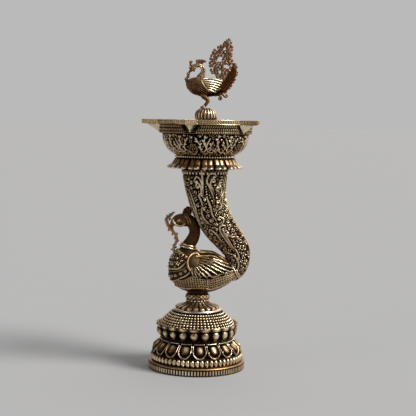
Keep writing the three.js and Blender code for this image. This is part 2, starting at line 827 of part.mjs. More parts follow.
function finialPeacock() {
  const legs = [1, -1].map((side) => tube(legStations, { sides: 5, steps: 9, y: side * LEG_SPREAD }));
  return wasm.Manifold.union([
    birdBody(smallBody, { sides: 12 }),
    tube(smallNeck, { sides: 7, steps: 14 }),
    ...legs,
  ]).subtract(cylinder(KNOB_RADIUS, -1, KNOB_HEIGHT + GAP));
}

function finialVine() {
  return mainBody(
    tube(smallVine, { sides: 5, steps: 14 })
      .subtract(birdBody(smallBody, { sides: 12, grow: GAP }))
      .subtract(tube(smallNeck, { sides: 7, steps: 14, grow: GAP })),
  );
}

function finialCrest() {
  const outline = placed(
    [[-10.6, 57.6], [-9.4, 60.2], [-7.2, 60.8], [-5.4, 63], [-3, 62], [-3.6, 59.6], [-5.2, 57.8]],
    [1],
  );
  const half = 1.1 * FINIAL_SIZE;
  return mainBody(plate(outline, -half, half).subtract(tube(smallNeck, { sides: 7, steps: 14, grow: GAP })));
}

// Openwork plume: its outline runs up the back edge and down the front one, in points [x, z]
const plumeOutline = placed(
  [
    [8, 31], [14, 29.6], [18, 29.4], [21, 32.4], [24, 32.6], [28, 35.4], [28.6, 39.6], [29.6, 42.8],
    [32.2, 45.8], [29.4, 50], [28, 54.4], [25.4, 57], [25.4, 61], [25, 65], [23, 69.6], [24, 74],
    [23.4, 79], [20.4, 83], [17.6, 80.6], [16, 77.6], [11.6, 76], [7, 74], [8, 69], [4.8, 66.4],
    [4.4, 61.8], [2, 58.6], [4, 54.2], [7.6, 51.6], [8.6, 47.8], [11.4, 45.4], [13, 42.4], [8, 40],
  ],
  [1],
);
// Gaps between the scrolls: [x, z, half width, half height]
const plumeGaps = placed(
  [
    [12.5, 61, 2.6, 2.1], [17, 55.4, 2.1, 1.8], [17, 70.4, 2.6, 3], [21.4, 60.6, 1.5, 2.6],
    [23.2, 52.4, 2, 2.2], [24.2, 44.4, 2.4, 2.8], [16.6, 47.4, 1.9, 2.1], [11, 69.4, 1.5, 1.8],
    [20.4, 77, 1.4, 2.2], [20, 38.2, 2.2, 1.4], [8.6, 56.4, 1.4, 1.4],
  ],
  [1],
);
const PLUME_THICKNESS = 3.6;
const BERRY = 1.6; // berry radius at the plume's tips
const underCurls = [
  [[13, 31, 1.7], [15, 26.4, 1.3], [13, 22.6, 1]],
  [[18, 31, 1.5], [19.8, 27, 1.1], [18.4, 24, 0.9]],
];

function finialTail() {
  const half = (PLUME_THICKNESS / 2) * FINIAL_SIZE;
  const shape = new THREE.Shape(plumeOutline.map(([x, z]) => new THREE.Vector2(x, z)));
  plumeGaps.forEach(([x, z, across, up]) => {
    // Each gap is a lozenge with rounded flanks, eight points round
    const gap = [];
    for (let i = 0; i < 8; i++) {
      const turn = (Math.PI * i) / 4;
      gap.push(new THREE.Vector2(x + across * Math.cos(turn), z + (up - finialLift) * Math.sin(turn)));
    }
    shape.holes.push(new THREE.Path(gap));
  });
  const leaf = new THREE.ExtrudeGeometry(shape, { depth: 2 * half, bevelEnabled: false });
  const plume = solidOf(leaf.rotateX(Math.PI / 2).translate(0, half, 0));
  const r = BERRY * FINIAL_SIZE;
  const tips = plumeOutline.filter((_, i) => i % 2 === 1 && i > 2 && i < 30);
  const berries = tips.map(([x, z]) => ball(x, 0, z, r, r * 1.3, r, 5, 4));
  const curls = underCurls.map((stations) => tube(placed(stations, [1]), { sides: 5, steps: 6 }));
  return mainBody(
    wasm.Manifold.union([plume, ...berries, ...curls]).subtract(
      birdBody(smallBody, { sides: 12, grow: GAP }),
    ),
  );
}

const finial = new THREE.Group();
finial.position.set(BOWL_OFFSET, 0, knobLow);
root.add(finial);
addPiece(finial, "finial_knob", finialKnob(), antiqueBrass);
addPiece(finial, "finial_peacock", finialPeacock(), antiqueBrass);
addPiece(finial, "finial_vine", finialVine(), darkBrass);
addPiece(finial, "finial_crest", finialCrest(), darkBrass);
addPiece(finial, "finial_tail", finialTail(), darkBrass);
const pinLow = -GAP - FINIAL_STUD_IN_POST;
addPiece(finial, "finial_stud", cylinder(FINIAL_STUD_RADIUS, pinLow, FINIAL_STUD_IN_KNOB, 16), steel);

export default root;
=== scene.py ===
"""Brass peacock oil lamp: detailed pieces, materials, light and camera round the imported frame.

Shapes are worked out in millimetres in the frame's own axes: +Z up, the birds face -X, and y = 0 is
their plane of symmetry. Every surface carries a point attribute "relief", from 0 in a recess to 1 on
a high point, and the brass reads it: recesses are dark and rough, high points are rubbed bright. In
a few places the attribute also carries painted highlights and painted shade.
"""

import math

import bpy
import numpy as np
from mathutils import Matrix, Vector


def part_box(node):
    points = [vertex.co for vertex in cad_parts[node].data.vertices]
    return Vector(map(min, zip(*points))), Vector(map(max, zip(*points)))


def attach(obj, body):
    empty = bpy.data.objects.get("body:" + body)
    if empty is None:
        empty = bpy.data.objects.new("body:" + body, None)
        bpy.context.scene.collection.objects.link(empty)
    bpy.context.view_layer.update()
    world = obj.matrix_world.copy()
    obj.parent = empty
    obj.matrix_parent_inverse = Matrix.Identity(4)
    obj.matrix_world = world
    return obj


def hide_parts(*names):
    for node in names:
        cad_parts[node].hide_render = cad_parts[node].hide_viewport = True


MM = 0.001
TAU = 2 * math.pi

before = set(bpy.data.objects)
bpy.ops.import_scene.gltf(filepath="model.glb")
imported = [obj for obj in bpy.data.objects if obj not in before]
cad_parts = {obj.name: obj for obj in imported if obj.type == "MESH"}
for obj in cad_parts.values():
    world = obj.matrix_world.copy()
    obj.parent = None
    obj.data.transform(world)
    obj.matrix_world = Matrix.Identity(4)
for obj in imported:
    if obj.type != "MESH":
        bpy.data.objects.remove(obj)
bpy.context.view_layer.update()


def span(node):
    """A node's lowest and highest corners in millimetres"""
    low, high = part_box(node)
    return np.array(low) / MM, np.array(high) / MM


def turned_size(node):
    """Largest x, lowest z and highest z of a node"""
    low, high = span(node)
    return high[0], low[2], high[2]


# Sizes and heights that the frame gives
FOOT_RADIUS, _, BASE_TOP = turned_size("lotus_base")
DOME_RADIUS, DOME_LOW, DOME_TOP = turned_size("beaded_dome")
CUSHION_RADIUS, CUSHION_LOW, CUSHION_TOP = turned_size("lotus_cushion")
COLLAR_RADIUS, COLLAR_LOW, COLLAR_TOP = turned_size("stem_collar")
SEAT = span("peacock_body")[0][2]
RING_REACH, RING_LOW, RING_TOP = turned_size("rope_ring")
SKIRT_REACH, SKIRT_LOW, SKIRT_TOP = turned_size("petal_skirt")
KNOB_REACH, KNOB_LOW, KNOB_TOP = turned_size("finial_knob")
_, BOWL_LOW, BOWL_TOP = turned_size("oil_bowl")
BOWL_AXIS = (span("rope_ring")[0][0] + RING_REACH) / 2
RING_RADIUS = RING_REACH - BOWL_AXIS
SKIRT_RADIUS = SKIRT_REACH - BOWL_AXIS + 0.4
KNOB_RADIUS = KNOB_REACH - BOWL_AXIS

# Bores that the hidden rod and studs pass through
ROD_BORE = 3.4
STUD_BORE = 4.3
FINIAL_BORE = 2.95

# Counts read off the object
FOOT_RIBS = 100
BAND_BEADS = 60
LARGE_PETALS = 18
UPPER_LEAVES = 22
DOME_COLUMNS = 62
DOME_ROWS = 6
CUSHION_FLUTES = 20
COLLAR_BEADS = 20
SKIRT_PETALS = 16
RING_BEADS = 72
SPOUTS = 5


# Meshes


def around(count):
    """Angles of count equal steps round a circle"""
    return TAU * np.arange(count) / count


def polar(angle):
    """Points (cos, sin) at angles"""
    return np.stack([np.cos(angle), np.sin(angle)], -1)


def outward_at(angle):
    """Unit vectors that point out level at angles"""
    return np.stack([np.cos(angle), np.sin(angle), 0 * angle], -1)


def unit(vectors):
    return vectors / np.maximum(np.linalg.norm(vectors, axis=-1, keepdims=True), 1e-9)


def distances(path):
    """How far each point of a path (x, z) is from its start"""
    return np.concatenate([[0], np.cumsum(np.hypot(*np.diff(path, axis=0).T))])


def bearing(way):
    """Direction of (x, z) in degrees"""
    return math.degrees(math.atan2(way[1], way[0]))


class Cast:
    """Closed surfaces gathered into one piece"""

    def __init__(self):
        self.points = []
        self.marks = []
        self.quads = []
        self.fans = []
        self.count = 0

    def grid(self, points, marks, loop_rows=False):
        """Rows of points that close round their columns, and round the rows or over both ends"""
        rows, columns = points.shape[:2]
        marks = np.broadcast_to(marks, (rows, columns))
        index = np.arange(rows * columns).reshape(rows, columns)
        low = index if loop_rows else index[:-1]
        high = np.roll(index, -1, axis=0) if loop_rows else index[1:]
        quads = np.stack([low, np.roll(low, -1, 1), np.roll(high, -1, 1), high], -1).reshape(-1, 4)
        flat = points.reshape(-1, 3)
        flat_marks = marks.reshape(-1)
        fans = np.zeros((0, 3), int)
        if not loop_rows:
            ends = []
            for end, ring in enumerate((index[0], index[-1])):
                centre = np.full(columns, rows * columns + end)
                pair = [np.roll(ring, -1), ring] if end == 0 else [ring, np.roll(ring, -1)]
                ends.append(np.stack([centre, *pair], -1))
            fans = np.concatenate(ends)
            flat = np.vstack([flat, points[0].mean(0), points[-1].mean(0)])
            flat_marks = np.concatenate([flat_marks, [marks[0].mean(), marks[-1].mean()]])
        triangles = np.vstack([quads[:, :3], quads[:, [0, 2, 3]], fans])
        a, b, c = (flat[triangles[:, k]] for k in range(3))
        if np.einsum("ij,ij->", a - flat[0], np.cross(b - flat[0], c - flat[0])) < 0:
            quads, fans = quads[:, ::-1], fans[:, ::-1]
        self.quads.append(quads + self.count)
        self.fans.append(fans + self.count)
        self.points.append(flat)
        self.marks.append(flat_marks)
        self.count += len(flat)

    def mirror(self):
        """Adds the other side of everything so far, across y = 0"""
        self.points += [points * (1, -1, 1) for points in self.points]
        self.marks += self.marks
        self.quads += [quads[:, ::-1] + self.count for quads in self.quads]
        self.fans += [fans[:, ::-1] + self.count for fans in self.fans]
        self.count *= 2

    def piece(self, name, finish, body, *nodes, slot="antique_brass"):
        """Makes the object: it rides a body of the frame, and stands in for nodes"""
        quads = np.concatenate(self.quads)
        fans = np.concatenate(self.fans)
        points = np.concatenate(self.points) * MM
        corners = np.concatenate([quads.reshape(-1), fans.reshape(-1)])
        sizes = np.concatenate([np.full(len(quads), 4), np.full(len(fans), 3)])
        mesh = bpy.data.meshes.new(name)
        mesh.vertices.add(len(points))
        mesh.vertices.foreach_set("co", points.reshape(-1))
        mesh.loops.add(len(corners))
        mesh.loops.foreach_set("vertex_index", corners)
        mesh.polygons.add(len(sizes))
        mesh.polygons.foreach_set("loop_start", np.cumsum(sizes) - sizes)
        mesh.polygons.foreach_set("use_smooth", np.ones(len(sizes), bool))
        mesh.update(calc_edges=True)
        mesh.validate()
        relief_and_painted_light = mesh.attributes.new("relief_and_painted_light", "FLOAT", "POINT")
        relief_and_painted_light.data.foreach_set("value", np.clip(np.concatenate(self.marks), 0, 1))
        mesh.materials.append(finish)
        made = bpy.data.objects.new(name, mesh)
        bpy.context.scene.collection.objects.link(made)
        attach(made, body)
        if nodes:
            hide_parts(*nodes)
        return made


def smooth(control, count):
    """count points on a Catmull-Rom curve through the control rows"""
    control = np.asarray(control, float)
    knots = np.vstack([2 * control[0] - control[1], control, 2 * control[-1] - control[-2]])
    spans = len(knots) - 3
    at = np.linspace(0, spans, count)
    first = np.minimum(at.astype(int), spans - 1)
    t = (at - first)[:, None]
    a, b, c, d = (knots[first + k] for k in range(4))
    return 0.5 * (2 * b + (c - a) * t + (2 * a - 5 * b + 4 * c - d) * t**2 + (3 * b - a - 3 * c + d) * t**3)


def normals(points):
    """Unit normals of a grid that closes round its columns"""
    along = np.roll(points, -1, 1) - np.roll(points, 1, 1)
    return unit(np.cross(along, np.gradient(points, axis=0)))


def outline(radius, z, *rows):
    """Rows (out, up, row spacing, carved) measured from a radius and a height"""
    return [(radius + out, z + up, spacing, carved) for out, up, spacing, carved in rows]


def dense(rows):
    """Outline rows (radius, z, row spacing, carved) as close rows, back to its start"""
    close = []
    for start, end in zip(rows, rows[1:] + rows[:1]):
        steps = max(1, round(math.dist(start[:2], end[:2]) / start[2]))
        for share in np.arange(steps) / steps:
            place = [a + (b - a) * share for a, b in zip(start[:2], end[:2])]
            close.append((*place, start[3]))
    return np.array(close)


def revolved(cast, rows, turn, lift, marks, axis, shift=(0, 0)):
    """Turns rows (radius, z), raised by lift along the outline's normal and moved by shift (out, up)"""
    slope = unit(np.roll(rows[:, :2], -1, 0) - np.roll(rows[:, :2], 1, 0))
    radius = rows[:, :1] + shift[0] + slope[:, 1:] * lift
    up = rows[:, 1:2] + shift[1] - slope[:, :1] * lift
    points = np.stack([axis + radius * np.cos(turn), radius * np.sin(turn), up + 0 * turn], -1)
    cast.grid(points, marks, loop_rows=True)


def turned(cast, rows, columns, carve=None, axis=0.0, plain=0.55, scallop=None):
    """Revolves a closed outline that runs up its outside; carve gives (height, relief) by angle and z"""
    rows = dense(rows)
    turn = around(columns)
    lift, marks, shift = 0 * turn, plain, (0, 0)
    if carve:
        height, mark = carve(turn, rows[:, 1:2], rows[:, :1])
        lift = np.where(rows[:, 2:] > 0, height, 0)
        marks = np.where(rows[:, 2:] > 0, mark, plain)
    if scallop:
        shift = scallop(turn, rows[:, :1])
    revolved(cast, rows, turn, lift, marks, axis, shift)


def bump(distance):
    """Round hump: 1 at distance 0, 0 from distance 1 outwards"""
    return np.sqrt(np.clip(1 - np.asarray(distance) ** 2, 0, 1))


def line(distance):
    """Soft ridge about two distance units wide"""
    return np.exp(-np.asarray(distance) ** 2)


def sector(turn, count, offset=0.0):
    """Position -1..1 across each of count equal sectors"""
    return ((turn * count / TAU + offset) % 1) * 2 - 1


def balls(cast, centres, outward, across, up, out, rows, columns):
    """Beads at centres, their outer side bright; across, up and out are their half sizes"""
    centres = np.atleast_2d(centres).astype(float)
    outward = unit(np.broadcast_to(outward, centres.shape).astype(float))
    upward = unit(np.array([0, 0, 1.0]) - outward * outward[:, 2:3])
    side = np.cross(upward, outward)
    tilt = math.pi * (np.arange(rows)[:, None] + 0.5) / rows
    turn = around(columns)
    tall = np.cos(tilt) * np.ones(columns)
    wide = np.sin(tilt) * np.cos(turn)
    deep = np.sin(tilt) * np.sin(turn)
    for k, centre in enumerate(centres):
        points = centre + wide[..., None] * across * side[k] + tall[..., None] * up * upward[k]
        points = points + deep[..., None] * out * outward[k]
        cast.grid(points, 0.15 + 0.85 * np.clip(deep, 0, 1) ** 0.7)


def tube(cast, path, radii, sides, flat=1.0, mark=None):
    """Round tube along a path near the plane y = const; flat is its thickness across that plane"""
    path = np.asarray(path, float)
    radii = np.broadcast_to(radii, len(path))
    along = unit(np.gradient(path, axis=0))
    side = unit(np.cross(along, (0, 1.0, 0)))
    over = np.cross(side, along)
    turn = around(sides)
    ring = np.cos(turn)[:, None] * side[:, None] + flat * np.sin(turn)[:, None] * over[:, None]
    facing = np.abs(np.sin(turn))
    cast.grid(path[:, None] + radii[:, None, None] * ring, 0.25 + 0.7 * facing if mark is None else mark)


def hoop(cast, middle, outward, size, rise, thick, sides, mark):
    """A closed ring of round section, size out from middle along outward, its section standing on rise"""
    section = around(sides)
    bulge = np.cos(section)[:, None] * outward[:, None] + np.sin(section)[:, None] * np.asarray(rise)
    cast.grid(middle + (outward * size)[:, None] + thick * bulge, mark, loop_rows=True)


def in_plane(points, y=0.0):
    """Points (x, z) as (x, y, z)"""
    points = np.asarray(points, float)
    return np.stack([points[..., 0], np.broadcast_to(y, points.shape[:-1]), points[..., 1]], -1)


def at_bird(points, y=0.0):
    """Points (x, z) of the large bird, above its seat, in the frame's axes"""
    return in_plane(points, y) + (0, 0, SEAT)


def at_finial(points, y=0.0):
    """Points (x, z) of the finial, from the bowl's axis and the knob's underside, in the frame's axes"""
    return in_plane(points, y) + (BOWL_AXIS, 0, KNOB_LOW)


def scroll(start, heading, length, size, turns, hand, count):
    """A stem that runs length along heading degrees, then curls in on itself; points (x, z)"""
    ahead = polar(math.radians(heading))
    aside = hand * np.array([-ahead[1], ahead[0]])
    steps = max(2, count // 4)
    stem = start + ahead * length * np.arange(steps)[:, None] / steps
    share = np.linspace(0, 1, count)
    turn = math.atan2(-aside[1], -aside[0]) + hand * TAU * turns * share
    reach = size * (1 - 0.72 * share[:, None])
    return np.vstack([stem, start + ahead * length + aside * size + reach * polar(turn)])


def bird_body(stations, rows, columns, place, inside):
    """Ovals along a bird from stations (x, lowest z, highest z, half width): x, z, points and normals"""
    station = smooth(stations, rows)
    low, high, half = (station[:, k:k + 1] for k in (1, 2, 3))
    turn = around(columns)
    x = np.repeat(station[:, :1], columns, 1)
    z = (low + high) / 2 + (high - low) / 2 * np.cos(turn)
    points = place(np.stack([x, z], -1), half * np.sin(turn))
    out = normals(points)
    out *= np.sign(np.sum(out * (points - inside), -1, keepdims=True))
    return x, z, points, out


def side_at(station, x, z, most):
    """Half width of a bird's body at (x, z); most keeps it off the keel and the back"""
    low, high, half = (np.interp(x, station[:, 0], station[:, k]) for k in (1, 2, 3))
    tall = np.clip((np.asarray(z) - (low + high) / 2) / ((high - low) / 2), -most, most)
    return half * np.sqrt(1 - tall**2)


# Chasing


class Carving:
    """A map of heights that strokes are stamped on. Sizes are in mm, and wide(y) is its columns' units
    per mm at height y. It wraps across its width."""

    def __init__(self, across, up, pitch, wide=None):
        self.columns = round(across / pitch[0])
        self.rows = round(up / pitch[1]) + 1
        self.across, self.up = across, up
        self.pitch = pitch
        self.wide = wide or (lambda y: 1.0)
        self.height = np.zeros((self.rows, self.columns))
        self.made = 0

    def window(self, x, y, radius):
        """Cells within reach of (x, y), and how far each is from it in radii"""
        wide = self.wide(y)
        side = int(radius * wide / self.pitch[0]) + 1
        reach = int(radius / self.pitch[1]) + 1
        column, row = round(x / self.pitch[0]), round(y / self.pitch[1])
        rows = np.arange(max(0, row - reach), min(self.rows, row + reach + 1))
        columns = np.arange(column - side, column + side + 1)
        far_x = (columns * self.pitch[0] - x) / wide
        far_y = rows * self.pitch[1] - y
        far = np.hypot(far_x[None, :], far_y[:, None]) / radius
        return np.ix_(rows, columns % self.columns), far

    def dot(self, x, y, radius, height, hollow=0.0):
        """One round boss, with a dimple if hollow"""
        cells, far = self.window(x, y, radius)
        hump = height * bump(far)
        if hollow:
            hump -= hollow * line(far / 0.4)
        before = self.height[cells]
        self.height[cells] = np.where(far < 1, np.maximum(before, hump), before)

    def sink(self, x, y, radius, level):
        """Cuts a round pit down to level"""
        cells, far = self.window(x, y, radius)
        before = self.height[cells]
        self.height[cells] = np.where(far < 1, np.minimum(before, level), before)

    def along(self, points):
        """Places every 0.3 mm along map points, and the share of the length at each"""
        points = np.asarray(points, float)
        wide = self.wide(points[:, 1].mean())
        steps = np.hypot(np.diff(points[:, 0]) / wide, np.diff(points[:, 1]))
        far = np.concatenate([[0], np.cumsum(steps)])
        at = np.linspace(0, far[-1], max(2, int(far[-1] / 0.3)))
        return np.interp(at, far, points[:, 0]), np.interp(at, far, points[:, 1]), at / far[-1]

    def stroke(self, points, radii, height=1.2):
        """A ridge along map points, its half width running through radii"""
        xs, ys, share = self.along(points)
        widths = np.interp(share, np.linspace(0, 1, len(radii)), radii)
        for x, y, width in zip(xs, ys, widths):
            self.dot(x, y, width, height * (0.5 + 0.5 * width / max(radii)))

    def groove(self, points, radius, level):
        """A line cut down to level"""
        for x, y, _ in zip(*self.along(points)):
            self.sink(x, y, radius, level)

    def local(self, x, y, points):
        """Points given in mm round (x, y), as map points"""
        points = np.asarray(points, float)
        return np.stack([x + self.wide(y) * points[:, 0], y + points[:, 1]], -1)

    def leaf(self, x, y, heading, length, width, height=1.2):
        """A pointed leaf"""
        angle = np.full(8, math.radians(heading))
        path = np.cumsum(polar(angle) * length / 7, axis=0)
        self.stroke(self.local(x, y, path), (0.5 * width, width, 0.8 * width, 0.35 * width), height)

    def ribbon(self, points, half, height):
        """A band that swells, with a fine line along its middle, and whose end curls round a berry"""
        points = np.asarray(points, float)
        wide = self.wide(points[:, 1].mean())
        flat = points / (wide, 1)
        last, before = flat[-1] - flat[-3], flat[-6] - flat[-9]
        heading = bearing(last)
        swing = (heading - bearing(before) + 180) % 360 - 180
        hand = 1 if swing > 0 else -1
        hook = scroll(flat[-1], heading, 0.4, 2.0 * half, 0.6, hand, 14)
        flat = np.concatenate([flat, hook[1:]]) * (wide, 1)
        self.stroke(flat, (0.4 * half, 0.9 * half, half, 0.9 * half, 0.7 * half), height)
        self.groove(flat[3:-8], 0.2, 0.8)
        self.dot(*flat[-1], 1.25 * half, 1.15 * height)

    def sprig(self, points, gap, length, width, stem):
        """A stem with pointed leaves on alternate sides"""
        points = np.asarray(points, float)
        self.stroke(points, (stem, 0.8 * stem), 1.35)
        far = distances(points)
        for k, at in enumerate(np.arange(gap, far[-1], gap)):
            i = min(int(np.searchsorted(far, at)), len(points) - 1)
            heading = bearing(points[i] - points[i - 1]) + (52 if k % 2 else -52)
            self.leaf(*points[i], heading, length, width, 1.3)
        self.leaf(*points[-1], bearing(points[-1] - points[-2]), length, width, 1.3)

    def fill(self, left, right, low, high, sizes, within=None, room=1.3):
        """Fills free ground with flowers, scrolls, commas and seeds, those of the first size first"""
        for size in sizes:
            for y in np.arange(low, high, 0.4 * size):
                for x in np.arange(left, right, 0.4 * size * self.wide(y)):
                    if within and not within(x, y):
                        continue
                    cells, far = self.window(x, y, size * room)
                    if np.any(self.height[cells][far < 1] > 0.12):
                        continue
                    self.made += 1
                    self.motif(x, y, size)

    def motif(self, x, y, size):
        """The filling ornament for a round space of this size"""
        hand = 1 if self.made % 2 else -1
        heading = (self.made * 67) % 360
        if size >= 1.5 and self.made % 3 == 0:
            for angle in range(heading, heading + 360, 90):
                place = self.local(x, y, 0.3 * size * polar(np.radians([angle])))[0]
                self.leaf(*place, angle, 0.55 * size, 0.36 * size, 1.4)
        elif size >= 1.5:
            share = np.linspace(0, 1, 14)
            turn = math.radians(heading) + hand * TAU * 0.95 * share
            path = self.local(x, y, 0.84 * size * (1 - 0.80 * share[:, None]) * polar(turn))
            thick = min(1.0, 0.45 * size)
            self.stroke(path, (0.45 * thick, 0.62 * thick, 0.75 * thick), 1.35)
        elif size >= 1.0:
            share = np.linspace(0, 1, 10)
            turn = math.radians(heading) + hand * 3.4 * share
            path = self.local(x, y, 0.52 * size * polar(turn))
            self.stroke(path, (0.62, 0.48, 0.25), 1.3)
        else:
            self.leaf(x, y - 0.6 * size, 55 + heading % 70, 1.3 * size, 0.5 * size, 1.3)

    def sample(self, x, y):
        """Heights between cells at (x, y)"""
        x = np.asarray(x) / self.pitch[0]
        y = np.clip(np.asarray(y) / self.pitch[1], 0, self.rows - 1.001)
        column, row = np.floor(x).astype(int), np.floor(y).astype(int)
        a, b = x - column, y - row
        near, far = column % self.columns, (column + 1) % self.columns
        low = self.height[row, near] * (1 - a) + self.height[row, far] * a
        high = self.height[row + 1, near] * (1 - a) + self.height[row + 1, far] * a
        return low * (1 - b) + high * b


# Materials


def add(tree, kind, inputs, operation=None):
    """A new node; inputs gives each of its sockets a value, or the output to link to it"""
    made = tree.nodes.new(kind)
    if operation:
        made.operation = operation
    for key, value in inputs.items():
        if isinstance(value, bpy.types.NodeSocket):
            tree.links.new(value, made.inputs[key])
        else:
            made.inputs[key].default_value = value
    return made


def add_ramp(tree, factor, stops):
    """The colour output of a ramp with stops (position, colour), a colour being grey or three channels"""
    made = add(tree, "ShaderNodeValToRGB", {"Fac": factor})
    elements = made.color_ramp.elements
    while len(elements) < len(stops):
        elements.new(0.5)
    for element, (position, colour) in zip(elements, stops):
        element.position = position
        element.color = (*colour, 1) if isinstance(colour, tuple) else (colour, colour, colour, 1)
    return made.outputs["Color"]


def brass(name, pit, mid, bright, copper, rough, low, high, patches):
    """Cast brass: patina in the recesses, rubbed metal on the points above high, copper-brown patches that
    are partly a painted warm reflection
    """
    material = bpy.data.materials.new(name)
    material.use_nodes = True
    tree = material.node_tree
    shader = tree.nodes["Principled BSDF"]
    shader.inputs["Metallic"].default_value = 1.0
    relief_and_painted_light = add(tree, "ShaderNodeAttribute", {})
    relief_and_painted_light.attribute_name = "relief_and_painted_light"
    place = add(tree, "ShaderNodeTexCoord", {}).outputs["Object"]

    def noise(scale, detail):
        inputs = {"Vector": place, "Scale": scale, "Detail": detail}
        return add(tree, "ShaderNodeTexNoise", inputs).outputs["Fac"]

    def joined(operation, first, second):
        return add(tree, "ShaderNodeMath", {0: first, 1: second}, operation).outputs[0]

    cloud = noise(45, 3)
    fine = noise(260, 4)
    grain = noise(1100, 2)
    speckle = joined("SUBTRACT", fine, 0.5)
    wear_and_painted_light = joined("ADD", relief_and_painted_light.outputs["Fac"], joined("MULTIPLY", speckle, 0.30))
    half = (low + high) / 2
    shade = tuple(0.22 * channel for channel in mid)
    dark = tuple(0.25 * channel for channel in copper)
    pale = tuple(0.5 * (a + b) for a, b in zip(copper, bright))
    base = add_ramp(tree, wear_and_painted_light, [(0.04, pit), (low, shade), (half, mid), (high, bright)])
    # Copper-brown tone that is partly a painted warm reflection, mixed in by cloud patches
    copper_tone_and_reflection = add_ramp(tree, wear_and_painted_light, [(0.04, pit), (low, dark), (half, copper), (high, pale)])
    patch = add_ramp(tree, cloud, [(0.50 - 0.3 * patches, 0.0), (0.70 - 0.3 * patches, patches + 0.35)])
    blend = tree.nodes.new("ShaderNodeMix")
    blend.data_type = "RGBA"
    for socket, value in ((0, patch), (6, base), (7, copper_tone_and_reflection)):
        tree.links.new(value, blend.inputs[socket])
    tree.links.new(blend.outputs[2], shader.inputs["Base Color"])
    dull = add_ramp(tree, wear_and_painted_light, [(low * 0.6, rough[0]), (high, rough[1])])
    tree.links.new(joined("ADD", dull, joined("MULTIPLY", speckle, 0.25)), shader.inputs["Roughness"])
    dents = joined("ADD", joined("MULTIPLY", grain, 0.4), fine)
    dent = add(tree, "ShaderNodeBump", {"Strength": 0.35, "Distance": 0.0004, "Height": dents})
    tree.links.new(dent.outputs["Normal"], shader.inputs["Normal"])
    return material


PIT = (0.004, 0.003, 0.002)
COPPER = (0.34, 0.165, 0.075)
aged = brass(
    "aged_brass", PIT, (0.46, 0.345, 0.175), (0.98, 0.87, 0.62), COPPER,
    (0.6, 0.22), 0.38, 0.86, 0.45)
umber = brass(
    "umber_brass", PIT, (0.155, 0.092, 0.052), (0.68, 0.50, 0.32), (0.25, 0.115, 0.050),
    (0.6, 0.25), 0.4, 0.96, 0.55)
russet = brass(
    "russet_brass", PIT, (0.095, 0.052, 0.030), (0.46, 0.31, 0.19), (0.20, 0.078, 0.032),
    (0.6, 0.25), 0.4, 1.0, 0.7)
gilt = brass(
    "gilt_brass", PIT, (0.66, 0.53, 0.26), (0.99, 0.90, 0.60), (0.44, 0.24, 0.11),
    (0.5, 0.24), 0.28, 0.76, 0.5)
rubbed = brass(
    "rubbed_brass", (0.012, 0.009, 0.005), (0.56, 0.46, 0.27), (0.98, 0.90, 0.70), COPPER,
    (0.5, 0.22), 0.2, 0.75, 0.3)
steel = brass(
    "threaded_steel", (0.05, 0.05, 0.05), (0.35, 0.35, 0.34), (0.6, 0.6, 0.58), (0.3, 0.24, 0.18),
    (0.5, 0.3), 0.1, 0.9, 0.1)


# Pedestal

PEDESTAL_WALL = 3
BAND_LOW = 0.178 * BASE_TOP
BAND_TOP = BAND_LOW + 0.174 * BASE_TOP
BAND_RADIUS = FOOT_RADIUS - 3.2
WAIST_RADIUS = 35.5
WAIST_Z = BAND_TOP + 14.6
WAIST_INSIDE = WAIST_RADIUS - PEDESTAL_WALL
LIP_RADIUS = 41.5
LIP_Z = BASE_TOP - 3.4
SEAT_IN_LIP = DOME_LOW - 0.3


def foot_carving(turn, z, radius):
    ribs = bump(np.clip(sector(turn, FOOT_RIBS) * 1.3, -1, 1))
    share = np.clip((z - 0.9) / 0.6, 0, 1) * np.clip((6.0 - z) / 0.6, 0, 1)
    smooth_lip = np.clip((z - 6.4) / 0.5, 0, 1)
    groove = line((z - 6.2) / 0.35)
    height = share * (ribs - 1) * 1.1 - 0.5 * groove
    return height, 0.62 * smooth_lip + share * 0.92 * ribs**1.4 - 0.5 * groove


def petal_carving(turn, z, radius):
    """Large petals that hang from the waist: a U-shaped rim round a raised heart, under a ledge bar"""
    half = math.pi * BAND_RADIUS / LARGE_PETALS
    across = np.abs(sector(turn, LARGE_PETALS)) * half
    up = z - BAND_TOP - half
    # Distance from the petal's middle: round below, straight sides above
    far = np.where(up < 0, np.hypot(across, up), across)
    inside = half - 0.2 - far
    tall = WAIST_Z - BAND_TOP - half
    below_bar = np.clip((tall - 2.6 - up) / 0.5, 0, 1)
    rim = line((inside - 0.75) / 0.55) * below_bar
    heart = bump(np.clip(far / 4.6, 0, 1)) * np.clip((tall - 3.4 - up) / 1.2, 0, 1)
    glint = line((up - 0.2) / 2.0) * line(across / 1.8)
    bar = line((up - tall + 1.3) / 0.75) * np.clip((half - 1.0 - across) / 0.5, 0, 1)
    height = np.where(inside > 0, 0.2, -2.4) + 1.5 * rim + 2.0 * heart + 1.6 * bar
    mark = 0.02 + 0.90 * rim + 0.56 * heart**2 + 0.50 * glint + 0.98 * bar
    return height, np.where(inside > -0.1, mark, 0.01)


def leaf_carving(turn, z, radius):
    """Upper row: broad rounded drops with deep gaps, each under a curled lip"""
    across = sector(turn, UPPER_LEAVES, 0.5)
    up = (z - WAIST_Z) / (LIP_Z - WAIST_Z)
    width = 0.80 * np.clip(0.50 + 0.75 * up, 0, 1)
    drop = bump(np.hypot(across / width, (up - 0.54) / 0.44))
    # A painted highlight line round the foot of the row, with no ridge raised under it
    foot = line((up - 0.02) / 0.05)
    shade = np.clip(0.55 + 0.6 * drop, 0, 1)
    return 2.6 * drop - 1.4, 0.01 + 0.92 * drop**1.3 * shade + 0.5 * foot


def lip_carving(turn, z, radius):
    lobe = bump(sector(turn, UPPER_LEAVES, 0.5) * 0.97)
    return 1.7 * lobe - 1.5, 0.06 + 0.82 * lobe**2.5


